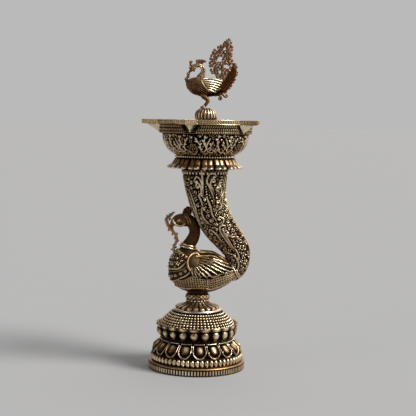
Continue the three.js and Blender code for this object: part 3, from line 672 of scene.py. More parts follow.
def build_base():
    """Foot ring, bead band, large petals, upper leaves and saucer lip, with the wall behind them"""
    foot = Cast()
    rows = outline(FOOT_RADIUS, 0, (-PEDESTAL_WALL - 1.5, 0, 3, 0), (-0.7, 0, 0.5, 0), (0, 0.8, 0.4, 1),
                   (0, 6.2, 0.3, 1), (-0.1, 7.2, 0.3, 1), (-0.8, 7.9, 0.4, 1))
    rows += outline(BAND_RADIUS, BAND_LOW, (0, 0, 3, 0), (-PEDESTAL_WALL, 0, 4, 0))
    turned(foot, rows, FOOT_RIBS * 10, foot_carving)
    foot.piece("foot_ring", aged, "stand", "lotus_base")

    band = Cast()
    rows = outline(BAND_RADIUS, BAND_LOW, (-6, -0.4, 2, 0), (-0.2, -0.4, 1, 0), (0.3, 0.3, 0.5, 0),
                   (-1.0, 1.0, 1, 0))
    rows += outline(BAND_RADIUS, BAND_TOP, (-1.0, -0.9, 0.5, 0), (0.2, -0.4, 0.5, 0), (-1.0, 0.4, 1, 0),
                    (-6, 0.4, 4, 0))
    turned(band, rows, 240, plain=0.2)
    outward = outward_at(around(BAND_BEADS) + math.pi / BAND_BEADS)
    centres = outward * (BAND_RADIUS - 0.9) + (0, 0, (BAND_LOW + BAND_TOP) / 2)
    balls(band, centres, outward, 2.3, 3.6, 2.4, 9, 14)
    band.piece("bead_band", aged, "stand", "lotus_base")

    petals = Cast()
    rows = outline(BAND_RADIUS, BAND_TOP, (-2.6, 0, 0.35, 1), (-1.7, 2.2, 0.35, 1), (-2.6, 5.6, 0.35, 1))
    rows += outline(WAIST_RADIUS, BAND_TOP, (2.6, 9.6, 0.35, 1), (0.4, 12.4, 0.35, 1))
    rows += outline(WAIST_RADIUS, WAIST_Z, (0.2, 0, 2, 0), (-PEDESTAL_WALL, 0, 4, 0))
    turned(petals, [(WAIST_INSIDE, BAND_TOP, 3, 0), *rows], LARGE_PETALS * 44, petal_carving)
    petals.piece("large_petals", aged, "stand", "lotus_base")

    leaves = Cast()
    rows = outline(WAIST_RADIUS, WAIST_Z, (-PEDESTAL_WALL, -0.3, 3, 0), (0, -0.3, 0.35, 1),
                   (2.2, 2.6, 0.35, 1), (4.0, 6.2, 0.35, 1), (4.2, 9.2, 0.35, 1))
    rows += outline(WAIST_RADIUS, LIP_Z, (4.0, 0, 2, 0), (-PEDESTAL_WALL, 0, 4, 0))
    turned(leaves, rows, UPPER_LEAVES * 36, leaf_carving)
    leaves.piece("upper_leaves", aged, "stand", "lotus_base")

    lip = Cast()
    inside = 6
    rows = outline(LIP_RADIUS, LIP_Z, (-4, -0.3, 1, 0), (-1.2, -0.1, 0.4, 1), (-0.3, 1.4, 0.4, 1))
    rows += outline(LIP_RADIUS, BASE_TOP, (-0.6, -0.4, 0.4, 0), (-1.6, 0, 0.5, 0), (-2.8, -0.3, 1, 0))
    rows += [(LIP_RADIUS - 3.2, SEAT_IN_LIP, 3, 0), (inside, SEAT_IN_LIP, 3, 0)]
    turned(lip, [(inside, SEAT_IN_LIP - 3, 4, 0), *rows], UPPER_LEAVES * 24, lip_carving, plain=0.5)
    lip.piece("saucer_lip", aged, "stand", "lotus_base")

    # The pedestal's hollow, seen from below
    lining = Cast()
    foot_inside = FOOT_RADIUS - PEDESTAL_WALL - 1.5
    roof = SEAT_IN_LIP - 3.1
    rows = [(ROD_BORE, roof, 3, 0), (WAIST_INSIDE, roof, 4, 0), (WAIST_INSIDE, WAIST_Z - 2, 4, 0)]
    rows += outline(BAND_RADIUS, BAND_TOP, (-7.8, -3, 4, 0))
    rows += outline(foot_inside, BAND_LOW, (0, -3, 4, 0))
    rows += outline(foot_inside, 0, (0, 0.1, 2, 0), (0.5, 0.1, 2, 0))
    rows += outline(foot_inside, BAND_LOW, (0.5, -2.6, 4, 0))
    rows += outline(BAND_RADIUS, BAND_TOP, (-5, -0.5, 4, 0))
    rows += outline(WAIST_INSIDE, WAIST_Z, (0.6, -1.6, 4, 0))
    rows += [(WAIST_INSIDE + 0.6, roof + 0.3, 4, 0), (ROD_BORE, roof + 0.3, 3, 0)]
    turned(lining, rows, 128, plain=0.3)
    lining.piece("pedestal_lining", aged, "stand", "lotus_base")


def build_dome():
    """Low dome under rows of small beads"""
    cast = Cast()
    top_radius = 25.5
    low_radius = DOME_RADIUS - 1.0
    tall = DOME_TOP - DOME_LOW

    def radius_at(share):
        return low_radius + (top_radius - low_radius) * share**1.35

    side = [(radius_at(i / 8) - 0.9, DOME_LOW + tall * i / 8, 1, 0) for i in range(9)]
    turned(cast, [(ROD_BORE, DOME_LOW, 4, 0), *side, (ROD_BORE, DOME_TOP, 4, 0)], 180, plain=0.08)
    flat = outward_at(around(DOME_COLUMNS))
    for row in range(DOME_ROWS):
        share = (row + 0.5) / DOME_ROWS
        pitch = TAU * radius_at(share) / DOME_COLUMNS
        centres = flat * (radius_at(share) - 0.6) + (0, 0, DOME_LOW + tall * share)
        balls(cast, centres, flat + (0, 0, 0.35 + 0.55 * share), 0.46 * pitch, 1.22, 1.5, 6, 9)
    cast.piece("beaded_dome_rows", aged, "stand", "beaded_dome")


def flute_carving(turn, z, radius):
    flute = bump(sector(turn, CUSHION_FLUTES) * 0.95)
    share = np.clip((radius - COLLAR_RADIUS) / (CUSHION_RADIUS - COLLAR_RADIUS), 0, 1)
    height = (1.1 + 1.1 * share**3) * (flute - 0.8)
    return height, 0.02 + 0.95 * flute**3 * (0.6 + 0.4 * share)


def build_cushion():
    """Polished ring, and the turned-over lotus on it"""
    ring = Cast()
    low = CUSHION_LOW
    rows = outline(CUSHION_RADIUS, low, (-2.0, 0, 1, 0), (-0.4, 0.8, 0.3, 0), (0, 1.7, 0.3, 0),
                   (-0.5, 2.7, 0.3, 0), (-1.8, 3.4, 0.5, 0))
    turned(ring, [(ROD_BORE, low, 4, 0), *rows, (ROD_BORE, low + 3.6, 4, 0)], 200, plain=0.8)
    ring.piece("cushion_ring", rubbed, "stand", "lotus_cushion", slot="bright_brass")

    flutes = Cast()
    rows = outline(CUSHION_RADIUS, low, (-3.4, 3.2, 0.3, 1), (-2.2, 4.4, 0.3, 1), (-3.6, 5.6, 0.3, 1),
                   (-7.4, 6.2, 0.3, 1))
    rows += outline(COLLAR_RADIUS, low, (1.4, 7.4, 0.3, 1), (-0.8, 9.0, 0.3, 1))
    rows += [(COLLAR_RADIUS - 1.2, CUSHION_TOP, 1, 0), (ROD_BORE, CUSHION_TOP, 4, 0)]
    turned(flutes, [(ROD_BORE, low + 3.2, 4, 0), *rows], CUSHION_FLUTES * 24, flute_carving)
    flutes.piece("cushion_flutes", aged, "stand", "lotus_cushion")


def bulge_carving(turn, z, radius):
    """Faint overlapping scallops"""
    row = (z - COLLAR_LOW - 2.2) / 1.9
    across = sector(turn, 16, 0.5 * (np.floor(row) % 2))
    arch = line((np.hypot(across, 1 - row % 1) - 0.85) / 0.2)
    return 0.25 * arch, 0.4 + 0.4 * arch


def build_collar():
    """Small collar under the bird: a row of beads below a scaled bulge"""
    cast = Cast()
    rows = outline(COLLAR_RADIUS, COLLAR_LOW, (-2.0, 0, 1, 0), (-2.0, 1.8, 0.5, 0), (-1.2, 2.2, 0.3, 1),
                   (-0.3, 3.6, 0.3, 1), (-0.2, 5.2, 0.3, 1), (-0.8, 6.8, 0.3, 1))
    rows += [(COLLAR_RADIUS - 1.8, COLLAR_TOP, 1, 0), (ROD_BORE, COLLAR_TOP, 3, 0)]
    turned(cast, [(ROD_BORE, COLLAR_LOW, 3, 0), *rows], 288, bulge_carving, plain=0.2)
    outward = outward_at(around(COLLAR_BEADS))
    balls(cast, outward * (COLLAR_RADIUS - 2.0) + (0, 0, COLLAR_LOW + 1.0), outward, 1.5, 1.0, 1.5, 7, 10)
    cast.piece("stem_collar_scaled", aged, "stand", "stem_collar")


# Large peacock, in millimetres above its seat

BODY = [  # x, lowest z, highest z, half width
    (-30, 20.5, 29.5, 6), (-28.5, 15, 35, 11), (-25, 10, 40.5, 15.5), (-20, 5.3, 45, 18.8),
    (-14, 2.3, 47, 21), (-7, 0.6, 46, 22.2), (0, 0.2, 43, 22.5), (7, 0.3, 42.2, 22),
    (14, 1.4, 41.6, 20.8), (21, 3.8, 38.8, 18.8), (28, 7.6, 34.4, 16), (35, 12.2, 29.6, 12.4),
    (40.5, 16.2, 26, 8), (43.5, 19, 23.2, 4.5),
]
NECK = [  # x, z, radius
    (-10.6, 38, 9.2), (-10.4, 44, 8.6), (-9.6, 48.4, 7.0), (-7.6, 52, 6.0), (-5.4, 56, 5.5),
    (-4.1, 60.7, 5.2), (-4.6, 66, 5.2), (-7.2, 70.8, 5.4), (-11, 73.4, 6.0), (-14.5, 74, 6.3),
]
HEAD = [  # x, z, radius
    (-10.5, 73.4, 6.0), (-14.5, 73.9, 6.4), (-18.5, 73.8, 6.4), (-22, 72.9, 5.6), (-25, 71.0, 4.0),
    (-27.0, 68.6, 2.4), (-28.2, 66.0, 1.3), (-28.6, 64.2, 0.6),
]
EYE = (-20.7, 73.4)
LID = [(-26.4, 74.6), (-25.4, 71.4), (-22.6, 68.8), (-19.0, 68.0), (-15.4, 69.4), (-14.0, 72.4)]
HEAD_BAND = [(-15.6, 79.9), (-12.0, 74.6), (-10.4, 68.4)]
CREST_ROOT = (-12.0, 77.0)
CREST_EDGE = [
    (-17.0, 78.6), (-16.6, 83.0), (-14.0, 86.6), (-10.6, 88.0), (-7.8, 85.6), (-7.2, 80.8), (-9.6, 77.6),
]
# Upper and lower edge of the rows of holes on the belly
LATTICE_TOP = [
    (-23, 14), (-17, 13.4), (-12, 15.4), (-7, 18.2), (1, 18.8), (14, 18.6), (23, 20.6), (31, 22.4), (40, 25),
]
LATTICE_LOW = [(-23, 8), (-12.6, 5.9), (-4, 7.1), (7, 7.2), (11.3, 5.4), (21, 8.2), (33.5, 13.8), (40, 18)]
BODY_CURVE = smooth(BODY, 200)
BODY_SHIFT = 33.0  # from the body's x to the carving's


def body_side(x, z):
    """The body's y on its -Y side at (x, z)"""
    return -side_at(BODY_CURVE, x, z, 0.98)


def body_pattern():
    """Chasing on the side of the body: necklaces, bosses, and small flowers on the breast"""
    work = Carving(84, 50, (0.2, 0.2))

    def cord(points, radii, height):
        """A raised line along points (x, z) of the body"""
        work.stroke(smooth([(x + BODY_SHIFT, z) for x, z in points], 40), radii, height)

    cord([(-30, 25.6), (-26, 26.2), (-21.3, 26.7), (-17.4, 29.4), (-13.5, 33.9)], (0.8, 0.95, 0.8), 1.5)
    cord([(-28, 13.4), (-24.2, 14.3), (-19.1, 17.2), (-13.4, 20.2), (-9.6, 23.9)], (0.7, 0.85, 0.7), 1.4)
    cord([(-29, 23.4), (-22, 24.4), (-16.4, 26.6), (-11.5, 30.6)], (0.45, 0.5, 0.45), 1.0)
    for x, z in ((-29.2, 17.6), (-27.0, 18.4), (-23.4, 19.6), (-18.8, 21.9), (-14.2, 25.0)):
        work.dot(x + BODY_SHIFT, z, 1.75, 1.4, 1.1)
    # Edge of the cape round the neck's root, and the belly's lower border
    cord([(-24, 41.5), (-18, 41.8), (-13.4, 39.6), (-12.2, 36.4)], (0.6, 0.7, 0.6), 1.2)
    cord(LATTICE_LOW, (0.5, 0.5), 1.0)
    cord([(x, z + 1.4) for x, z in LATTICE_TOP], (0.55, 0.55), 1.1)

    # Pointed collar that hangs from the neck's rings
    for heading in range(-168, 0, 19):
        x, z = polar(math.radians(heading)) * (8.6, 4.4) + (BODY_SHIFT - 10, 44.4)
        work.leaf(x, z, heading, 3.4, 1.0, 1.4)

    def breast(x, z):
        return z > 27.8 - 0.25 * min(0, x - 8)

    work.fill(1, 21, 27, 41, (2.4, 1.7, 1.2, 0.9), breast)
    return work


def body_carving(x, z):
    """Height and relief of the body by its place seen from the side"""
    raised = BODY_PATTERN.sample(x + BODY_SHIFT, z)
    top = np.interp(x, *zip(*LATTICE_TOP))
    low = np.interp(x, *zip(*LATTICE_LOW))
    # Rows of square holes that follow the keel
    share = (z - low) / (top - low)
    row = (share * 5) % 1
    along = ((x + 2.2 * share) / 2.35) % 1
    hole = np.clip((0.34 - np.maximum(np.abs(row - 0.5), np.abs(along - 0.5))) / 0.10, 0, 1)
    hole = hole * ((share > 0.03) & (share < 0.97) & (x > -26))
    net = ((share > -0.02) & (share < 1.04)).astype(float)
    height = 1.0 * np.minimum(raised, 1.5) - 1.1 * hole
    mark = 0.34 + 0.36 * net * (1 - hole) - 0.34 * hole
    # Painted shade: dark ground between the necklaces, under the wing and behind the breast's flowers
    shaded = (share > 1.08) & (z < 30) | (x < -12.5) & (z > 20) & (z < 41)
    mark = np.where(shaded, 0.20, mark)
    mark = np.maximum(mark, 0.80 * np.clip(raised / 1.1, 0, 1))
    seam = line((x - 8.6) / 0.45) * (z < 17)
    return height + 0.5 * seam, mark + 0.3 * seam


BODY_PATTERN = body_pattern()


def build_body():
    """Chased body, and the boss on which the bird stands"""
    cast = Cast()
    rows = 260
    x, z, points, out = bird_body(BODY, rows, 360, at_bird, (5, 0, SEAT + 23))
    height, mark = body_carving(x, z)
    fade = np.clip(np.minimum(np.arange(rows), np.arange(rows)[::-1]) / 6, 0, 1)[:, None]
    cast.grid(points + out * (height * fade - 0.3)[..., None], mark)
    side = outline(COLLAR_RADIUS, SEAT, (-1.9, 0, 1, 0), (-1.9, 1.0, 1, 0), (1.0, 3.4, 1, 0))
    turned(cast, [(ROD_BORE, SEAT, 3, 0), *side, (ROD_BORE, SEAT + 3.4, 3, 0)], 120, plain=0.35)
    cast.piece("peacock_body_chased", aged, "stand", "peacock_body")


def feather(cast, path, width, lift, thick, mark):
    """A blade with a sharp ridge, draped on the body's -Y side along path points (x, z above the seat)"""
    along = unit(np.gradient(path, axis=0))
    side = np.stack([-along[:, 1], along[:, 0]], -1)
    share = np.linspace(0, 1, len(path))
    half = width * np.clip(np.sin(math.pi * np.clip(share * 0.80 + 0.14, 0, 1)), 0.12, 1) ** 0.6
    # The blade's section: up over its ridge, and back underneath
    across = np.array([-1, -0.8, -0.45, -0.15, 0, 0.15, 0.45, 0.8, 1, 0.5, 0, -0.5])
    top = np.array([0, 0.35, 0.65, 0.9, 1.1, 0.9, 0.65, 0.35, 0, -0.7, -0.8, -0.7])
    shade = np.array([0.02, 0.10, 0.42, 0.85, 1, 0.9, 0.62, 0.2, 0.02, 0, 0, 0])
    places = path[:, None] + side[:, None] * (half[:, None] * across)[..., None]
    y = body_side(places[..., 0], places[..., 1]) - lift - thick * top
    cast.grid(at_bird(places, y), mark * shade * (0.8 + 0.2 * share[:, None]))


LONG_FEATHERS = [  # root to tip, top one first
    [(2, 36.5), (14.9, 36.6), (24.5, 33.4), (35.9, 29.6)],
    [(2, 35.4), (14.6, 34.6), (24.5, 30.4), (35.2, 26.5)],
    [(2, 34.0), (12.4, 32.3), (21.5, 27.8), (32.4, 23.4)],
    [(1, 32.6), (7.4, 31.6), (15.6, 27.4), (25.6, 22.6)],
    [(0, 31.2), (5.3, 29.4), (11.8, 25.2), (20.0, 20.2)],
    [(-1, 29.8), (3.3, 27.0), (8.0, 22.8), (13.4, 18.6)],
    [(-2.5, 28.6), (-0.2, 25.8), (3.6, 21.8), (7.6, 18.2)],
    [(-4.2, 28.4), (-3.0, 25.6), (-1.2, 22.6), (1.6, 18.8)],
    [(-5.8, 28.2), (-5.2, 25.4), (-4.2, 22.6), (-2.6, 19.2)],
    [(-7.6, 28.6), (-7.6, 25.6), (-7.2, 23.0), (-6.2, 20.2)],
]
SHORT_FEATHERS = [
    [(1.0, 38.0), (8.5, 37.4), (18.5, 34.2)],
    [(0.4, 36.2), (6.6, 35.4), (14.4, 32.0)],
    [(-0.4, 34.4), (4.6, 33.2), (10.8, 29.6)],
    [(-1.0, 32.4), (2.6, 31.0), (7.4, 27.2)],
    [(-2.0, 30.6), (0.6, 29.0), (3.8, 25.4)],
    [(-3.4, 29.6), (-1.6, 27.4), (0.2, 24.2)],
    [(-5.0, 29.0), (-4.2, 26.6), (-3.2, 23.8)],
]
WING_RIDGE = [(-6.4, 41.2), (1, 41.8), (9.2, 41.6), (15.3, 40.8), (22.2, 36.9), (29.4, 32.9), (36.6, 29.9)]
SECOND_RIDGE = [(-4.5, 39), (3.7, 39), (11.8, 39.1), (16.8, 37.8), (22.8, 33.9), (30, 30.6)]
SHOULDER = [
    (-1.6, 41.0), (-4.8, 41.6), (-8.9, 40.0), (-11.6, 36.2), (-12.0, 32.1), (-10.9, 28.1), (-9.0, 25.2),
]
# Dark sheets laid under the feathers, as painted shade between them
SHADE_UNDER_FEATHERS = [
    [(-6, 34.5), (16, 33), (33, 27)],
    [(-7, 30), (12, 28), (26, 22)],
    [(-6, 26), (6, 23), (14, 19)],
]
DISC, DISC_RADIUS = (-4.4, 33.6), 7.3


def build_wings():
    """Both wings: two tiers of feathers, twin ridges, shoulder rim and disc"""
    cast = Cast()
    # Dark sheets under the feathers: painted shade
    for path in SHADE_UNDER_FEATHERS:
        feather(cast, smooth(path, 20), 6.5, -0.2, 1.0, 0.22)
    for path in LONG_FEATHERS:
        feather(cast, smooth(path, 20), 1.75, 1.0, 1.7, 1.12)
    for path in SHORT_FEATHERS:
        feather(cast, smooth(path, 16), 1.3, 2.4, 1.3, 1.05)
    for path, size, lift in ((WING_RIDGE, 1.35, 1.0), (SECOND_RIDGE, 1.0, 1.9), (SHOULDER, 1.3, 1.4)):
        edge = smooth(path, 40)
        curve = at_bird(edge, body_side(edge[:, 0], edge[:, 1]) - lift)
        tube(cast, curve, np.linspace(size, 0.8 * size, 40), 12, mark=0.62)
    # Shoulder disc with a cross-hatched face
    turn = around(60)
    share = np.linspace(1, 0.02, 18)[:, None]
    x = DISC[0] + DISC_RADIUS * share * np.cos(turn)
    z = DISC[1] + DISC_RADIUS * share * np.sin(turn) * 1.15
    hatch = np.clip(np.cos(2.6 * (x + z)) * np.cos(2.6 * (x - z)), -0.3, 1) * (share < 0.86)
    raised = 1.9 + 0.9 * bump(share) + 0.4 * hatch
    y = body_side(x, z) - raised * np.clip((1.02 - share) / 0.08, 0, 1)
    cast.grid(at_bird(np.stack([x, z], -1), y), 0.24 + 0.34 * hatch)
    cast.mirror()
    cast.piece("wings_feathered", aged, "stand", "wing_left", "wing_right", slot="bright_brass")


def scaled_tube(cast, centre, radius, rows_per_scale, scales, scaled, flat):
    """A tube in the bird's plane, covered in overlapping scales where scaled is 1"""
    side = np.cross(unit(np.gradient(centre, axis=0)), (0, 1, 0))
    turn = around(scales * 8)
    row = np.arange(len(centre))[:, None] / rows_per_scale
    across = sector(turn, scales, 0.5 * (np.floor(row) % 2))
    arch = line((np.hypot(across, (row % 1) * 1.2) - 0.85) / 0.34)
    swell = radius[:, None] + 0.5 * arch * scaled[:, None]
    way = np.cos(turn)[:, None] * side[:, None] + np.sin(turn)[:, None] * np.array([0, flat, 0])
    cast.grid(centre[:, None] + swell[..., None] * way, 0.42 + scaled[:, None] * (0.62 * arch - 0.40))


def build_neck():
    """Scaled neck, head with beak, eyes and lids, and the double ring round the neck's root"""
    cast, lids, collar = Cast(), Cast(), Cast()
    path = smooth(NECK, 140)
    scaled = np.clip((np.arange(140) - 44) / 8, 0, 1)
    scaled_tube(cast, at_bird(path), path[:, 2], 5.4, 14, scaled, 0.92)
    head = smooth(HEAD, 50)
    tube(cast, at_bird(head), head[:, 2], 30, 0.86, mark=0.62)
    # Eyes in oval rims, over heavy U-shaped lower lids
    rim = in_plane(polar(around(30)))
    lid = smooth(LID, 30)
    lid_depth = 3.0 + 2.3 * np.sin(np.linspace(0.35, 2.9, 30))
    for y in (-1, 1):
        balls(cast, at_bird(EYE, y * 4.6), (0, y, 0), 2.3, 1.8, 1.5, 8, 16)
        hoop(cast, at_bird(EYE, y * 4.7), rim, (3.5, 0, 3.0), (0, 1, 0), 0.6, 8, 0.5)
        tube(lids, at_bird(lid, y * lid_depth), 1.0, 10, mark=0.72)
    # Bands round the back of the head
    depth = 5.7 * np.sqrt(1 - 0.9 * np.linspace(-1, 1, 18) ** 2)
    for shift in (0, 2.3):
        band = smooth(HEAD_BAND, 18) + (shift, 0)
        for sign in (1, -1):
            tube(cast, at_bird(band, sign * depth), 0.75, 8, mark=0.75)
    cast.piece("peacock_neck_scaled", umber, "stand", "peacock_neck", slot="dark_brass")
    lids.piece("peacock_lids", aged, "stand", "peacock_neck", slot="bright_brass")

    tilt = math.radians(14)
    ahead = np.array([math.cos(tilt), 0, -math.sin(tilt)])
    rise = (math.sin(tilt), 0, math.cos(tilt))
    turn = around(96)
    outward = np.cos(turn)[:, None] * ahead + np.sin(turn)[:, None] * np.array([0, 1.0, 0])
    mark = 0.35 + 0.6 * np.clip(np.cos(around(12)), 0, 1)
    for k in range(2):
        middle = at_bird((-10.4 + 0.5 * k, 46.2 + 2.2 * k))
        hoop(collar, middle, outward, 8.3 - 1.1 * k, rise, 1.15, 12, mark)
    collar.piece("neck_rings", aged, "stand", "neck_collar", slot="bright_brass")


def build_crest():
    """Solid ribbed fan on the head"""
    cast = Cast()
    lobe = np.abs(np.cos(np.linspace(0, 6, 61) * math.pi))
    reach = (smooth(CREST_EDGE, 61) - CREST_ROOT) * (1 - 0.07 * lobe[:, None])
    share = np.linspace(0.05, 1, 16)[:, None]
    face = CREST_ROOT + share[..., None] * reach
    deep = (2.4 - 0.5 * share - 0.8 * lobe) * np.sqrt(np.clip(1.04 - share**6, 0, 1))
    mark = 0.16 + 0.62 * (1 - lobe)
    both = np.concatenate([at_bird(face, -deep), at_bird(face, deep)[:, ::-1]], 1)
    cast.grid(both, np.concatenate([mark, mark[::-1]]))
    base = smooth([(-18.0, 78.4), (-13.4, 80.2), (-8.4, 77.8)], 16)
    for y in (-2.2, 2.2):
        tube(cast, at_bird(base, y), 1.0, 9, mark=0.7)
    cast.piece("head_crest_fan", umber, "stand", "head_crest", slot="dark_brass")


VINE = [(-32.4, 73.2), (-31.8, 69.8), (-29.8, 66.4), (-27.2, 63.5), (-24.9, 61), (-22.9, 57.9), (-22, 54.8),
        (-22.7, 51.3), (-23.9, 48), (-24.9, 44.6), (-24.4, 41.0)]
VINE_FRILL = [(-33.2, 72.4), (-32.4, 75.2), (-29.9, 77.1), (-27.8, 78.8), (-26.6, 80.2)]
# Curls on the vine: root (x, z), heading in degrees, length, size, hand
VINE_CURLS = [
    ((-32.4, 73.2), 170, 0.6, 1.3, -1), ((-31.2, 76.2), 150, 0.8, 1.2, -1), ((-29, 77.8), 125, 0.8, 1.2, -1),
    ((-26.6, 79.8), 80, 0.8, 1.2, -1), ((-30.4, 73.6), 20, 1.0, 1.4, 1), ((-28.6, 64.8), 200, 1.4, 1.2, 1),
    ((-28.4, 64.8), 30, 1.4, 1.1, -1), ((-24.4, 60.4), 190, 1.6, 1.2, 1), ((-23.4, 58.6), 10, 1.2, 1.2, 1),
    ((-22, 55), 185, 1.4, 1.1, -1), ((-22.4, 52), 0, 1.2, 1.1, 1), ((-23.6, 48.6), 190, 1.4, 1.1, 1),
    ((-24.2, 47), 350, 1.0, 1.0, -1), ((-25, 44), 200, 1.2, 1.1, -1),
]


def build_vine():
    """Garland from the beak to the breast, with curls along both sides"""
    cast = Cast()
    tube(cast, at_bird(smooth(VINE, 70)), np.linspace(1.7, 1.2, 70), 14, 1.1, mark=0.8)
    tube(cast, at_bird(smooth(VINE_FRILL, 24)), np.linspace(1.6, 1.2, 24), 10, 1.1, mark=0.8)
    for root, heading, length, size, hand in VINE_CURLS:
        path = scroll(root, heading, length, size, 0.5, hand, 14)
        tube(cast, at_bird(path), np.linspace(1.25, 0.45, len(path)), 9, 1.2, mark=0.8)
    cast.piece("beak_vine_curls", umber, "stand", "beak_vine", slot="dark_brass")


# Tail column

HORN = [  # x, z above the seat, radius
    (30, 16.5, 7.5), (35, 21.5, 9.8), (38.4, 27.5, 11.6), (39.6, 35, 12.7), (38.6, 43.8, 13.6),
    (33.6, 51.4, 14.5), (27.3, 59, 15.6), (21, 67, 16.8), (15.5, 76, 17.6), (11, 85.5, 18.3),
    (8, 95.5, 19.2), (6.4, 105.5, 20.7),
    (5.4, 115.5, 22.3), (5, 125.1, 24),
]
# Main strokes of the scrollwork, as points (percent of the way round from the inner to the outer edge,
# mm along the horn from its root)
HOOKS = [  # tall hooks under the rim, each with its curled head
    [(41, 86), (42, 95), (47, 104.5), (50, 110), (45, 117.8), (38, 116.8)],
    [(39, 96), (41, 101), (45, 105.7), (42, 112), (39, 111.6)],
    [(33, 85), (24, 92.5), (17, 97), (18, 105.3), (22, 110), (27, 110)],
    [(30, 92), (24, 96.8), (25, 101), (29, 106.6), (32, 104.3)],
    [(31, 94), (30, 97.6), (34, 99.3)],
    [(15, 72), (10, 78), (9, 84), (4, 88.5), (3, 93.5)],
    [(25, 76.4), (24, 87), (21, 95)],
    [(46, 77), (39, 77.9), (30, 79.6), (29, 83), (31, 86.7)],
    [(56, 104), (56, 109), (57, 121)],
    [(58, 96.6), (57, 102.8), (59, 111), (64, 114.4), (68, 112)],
    [(57, 92.4), (60, 97.5), (60, 105), (64, 109), (67, 106.7)],
    [(64, 84.6), (63, 90.4), (65, 95.9)],
    [(90, 63.4), (86, 70.7), (79, 86), (80, 95), (83, 102), (93, 104.3)],
    [(94, 60), (91, 70.7), (85, 82), (87, 94), (92, 99)],
]
CORDS = [  # long cords of the lower half
    [(56, 31.3), (59, 36), (57, 47.5), (55, 57), (49, 62), (41, 60.1), (43, 57.1)],
    [(53, 30.7), (55, 38), (52, 48), (50, 55.4), (44, 54.6), (43, 51.9)],
    [(46, 46.7), (46, 48.8), (48, 49.7)],
    [(38, 42.2), (37, 44.1), (41, 45.1)],
    [(51, 62.6), (42, 63.4), (36, 66.5), (40, 69.9)],
    [(77, 20.1), (80, 26.4), (93, 31), (96, 35), (91, 39.4), (78, 41.8), (71, 40.7), (74, 38.3)],
    [(53, 36.5), (53, 33), (49, 24.1)],
    [(62, 25.7), (51, 20), (47, 13.2), (48, 9.6)],
    [(64, 42), (66, 50), (65, 58), (70, 64), (76, 62)],
    [(70, 46), (74, 52), (82, 54), (86, 50)],
    [(60, 66), (66, 70), (70, 78), (67, 84)],
    [(50, 68), (52, 76), (50, 84), (52, 92)],
]
LEAVES = [(72, 34.4), (67, 30), (58, 26), (80, 35), (87, 36)]  # ovals at the root of the outer half
STRAP = [(29.6, 34.5), (34.2, 27.5), (38.0, 20.5), (41.6, 15.8)]


def horn_path(rows):
    """Centre (x, z), radius and distance along the horn at equal steps"""
    path = smooth(HORN, rows * 3)
    steps = distances(path[:, :2])
    at = np.linspace(0, steps[-1], rows)
    return np.stack([np.interp(at, steps, path[:, k]) for k in range(3)], -1), at


def column_pattern(radius, at):
    """Scrollwork over half the horn, from its inner edge (0) to its outer edge (100 percent)"""
    length = at[-1]

    def wide(y):
        return 100 / (math.pi * np.interp(y, at, radius))

    work = Carving(125, length, (0.4, 0.25), wide)
    # Twin cords along the inner edge and a cord along the outer edge
    for u in (2, 7, 97.5):
        work.stroke([(u, 4), (u, length - 8)], (0.75, 0.75))
    # Toothed row and bead row under the rim
    for u in np.arange(2, 100, 5.2):
        work.leaf(u, length - 5.2, 90, 3.4, 1.25, 1.4)
        work.dot(u + 2.6, length - 1.4, 0.85, 1.2)
    for y in np.arange(84, 106, 2.6):
        work.dot(52, y, 1.0, 1.4)
    for points in HOOKS + CORDS:
        work.ribbon(smooth(points, 30), 1.1, 1.45)
    for u, y in LEAVES:
        work.leaf(u - 2, y - 3, 62, 6.5, 1.6, 1.4)
    work.dot(38, 82.5, 2.0, 1.4, 1.2)

    def carved(u, y):
        """A band beside the inner cords stays darker in the lower half"""
        return u > 30 or y > 62 or (int(y / 4) % 2 == 0 and u < 24)

    # Open work under the rim, and closer work below
    work.fill(9, 97, 84, length - 6, (2.5, 1.9, 1.35, 0.95), carved, 1.3)
    work.fill(9, 97, 3, 84, (3.0, 2.2, 1.6, 1.15, 0.8), carved, 1.05)
    return work


def build_column():
    """The horn with its scrollwork, and the strap where it meets the bird"""
    cast = Cast()
    path, at = horn_path(308)
    length = at[-1]
    centre = at_bird(path)
    # The rim lies level under the skirt
    level = np.clip((at - length + 14) / 14, 0, 1)[:, None]
    along = unit(unit(np.gradient(centre, axis=0)) * (1 - level) + np.array([0, 0, 1.0]) * level)
    inner = np.cross(along, (0, -1.0, 0))  # towards the concave side
    turn = around(320)
    ring = np.cos(turn)[:, None] * inner[:, None] + np.sin(turn)[:, None] * np.array([0, -1.0, 0])
    work = column_pattern(path[:, 2], at)
    height = work.sample(100 * (1 - np.abs(1 - turn / math.pi)), at[:, None])
    keep = np.clip((length - 0.2 - at) / 0.4, 0, 1)[:, None]
    radius = path[:, 2:3] + (1.15 * np.minimum(height, 1.5) - 1.5) * keep
    mark = 0.01 + 0.95 * np.clip(height / 1.35, 0, 1) ** 1.2
    cast.grid(centre[:, None] + radius[..., None] * ring, mark)
    for k in range(2):
        strap = smooth(STRAP, 24) + (1.4 * k, 0.9 * k)
        y = body_side(np.minimum(strap[:, 0], 41), strap[:, 1]) - 1.2
        for sign in (1, -1):
            tube(cast, at_bird(strap, sign * y), 0.8, 8)
    cast.piece("tail_column_scrolls", aged, "stand", "tail_column")


# Skirt and bead ring


def skirt_carving(turn, z, radius):
    """Broad petals whose tips catch the light: the lobes are painted brighter towards the tips, and the lip
    is a painted highlight
    """
    across = sector(turn, SKIRT_PETALS, 0.5)
    share = np.clip((SKIRT_TOP - z) / (SKIRT_TOP - SKIRT_LOW), 0, 1)
    # Each petal swells twice, either side of its middle crease
    lobe = bump(np.clip((np.abs(across) - 0.44) / 0.46, -1, 1))
    # Painted highlight along the petal tips' lip, with no raised edge under it
    lip = np.clip((share - 0.86) / 0.08, 0, 1) * (np.abs(across) < 0.8)
    height = (1.3 * share + 0.9) * (lobe**0.8 - 0.85)
    # The lobes' marks are painted brighter towards the tips
    mark = 0.02 + 0.95 * lobe**1.5 * (0.6 + 0.4 * share) + 0.7 * lip
    return height, np.where(share > 0.08, mark, 0.05)


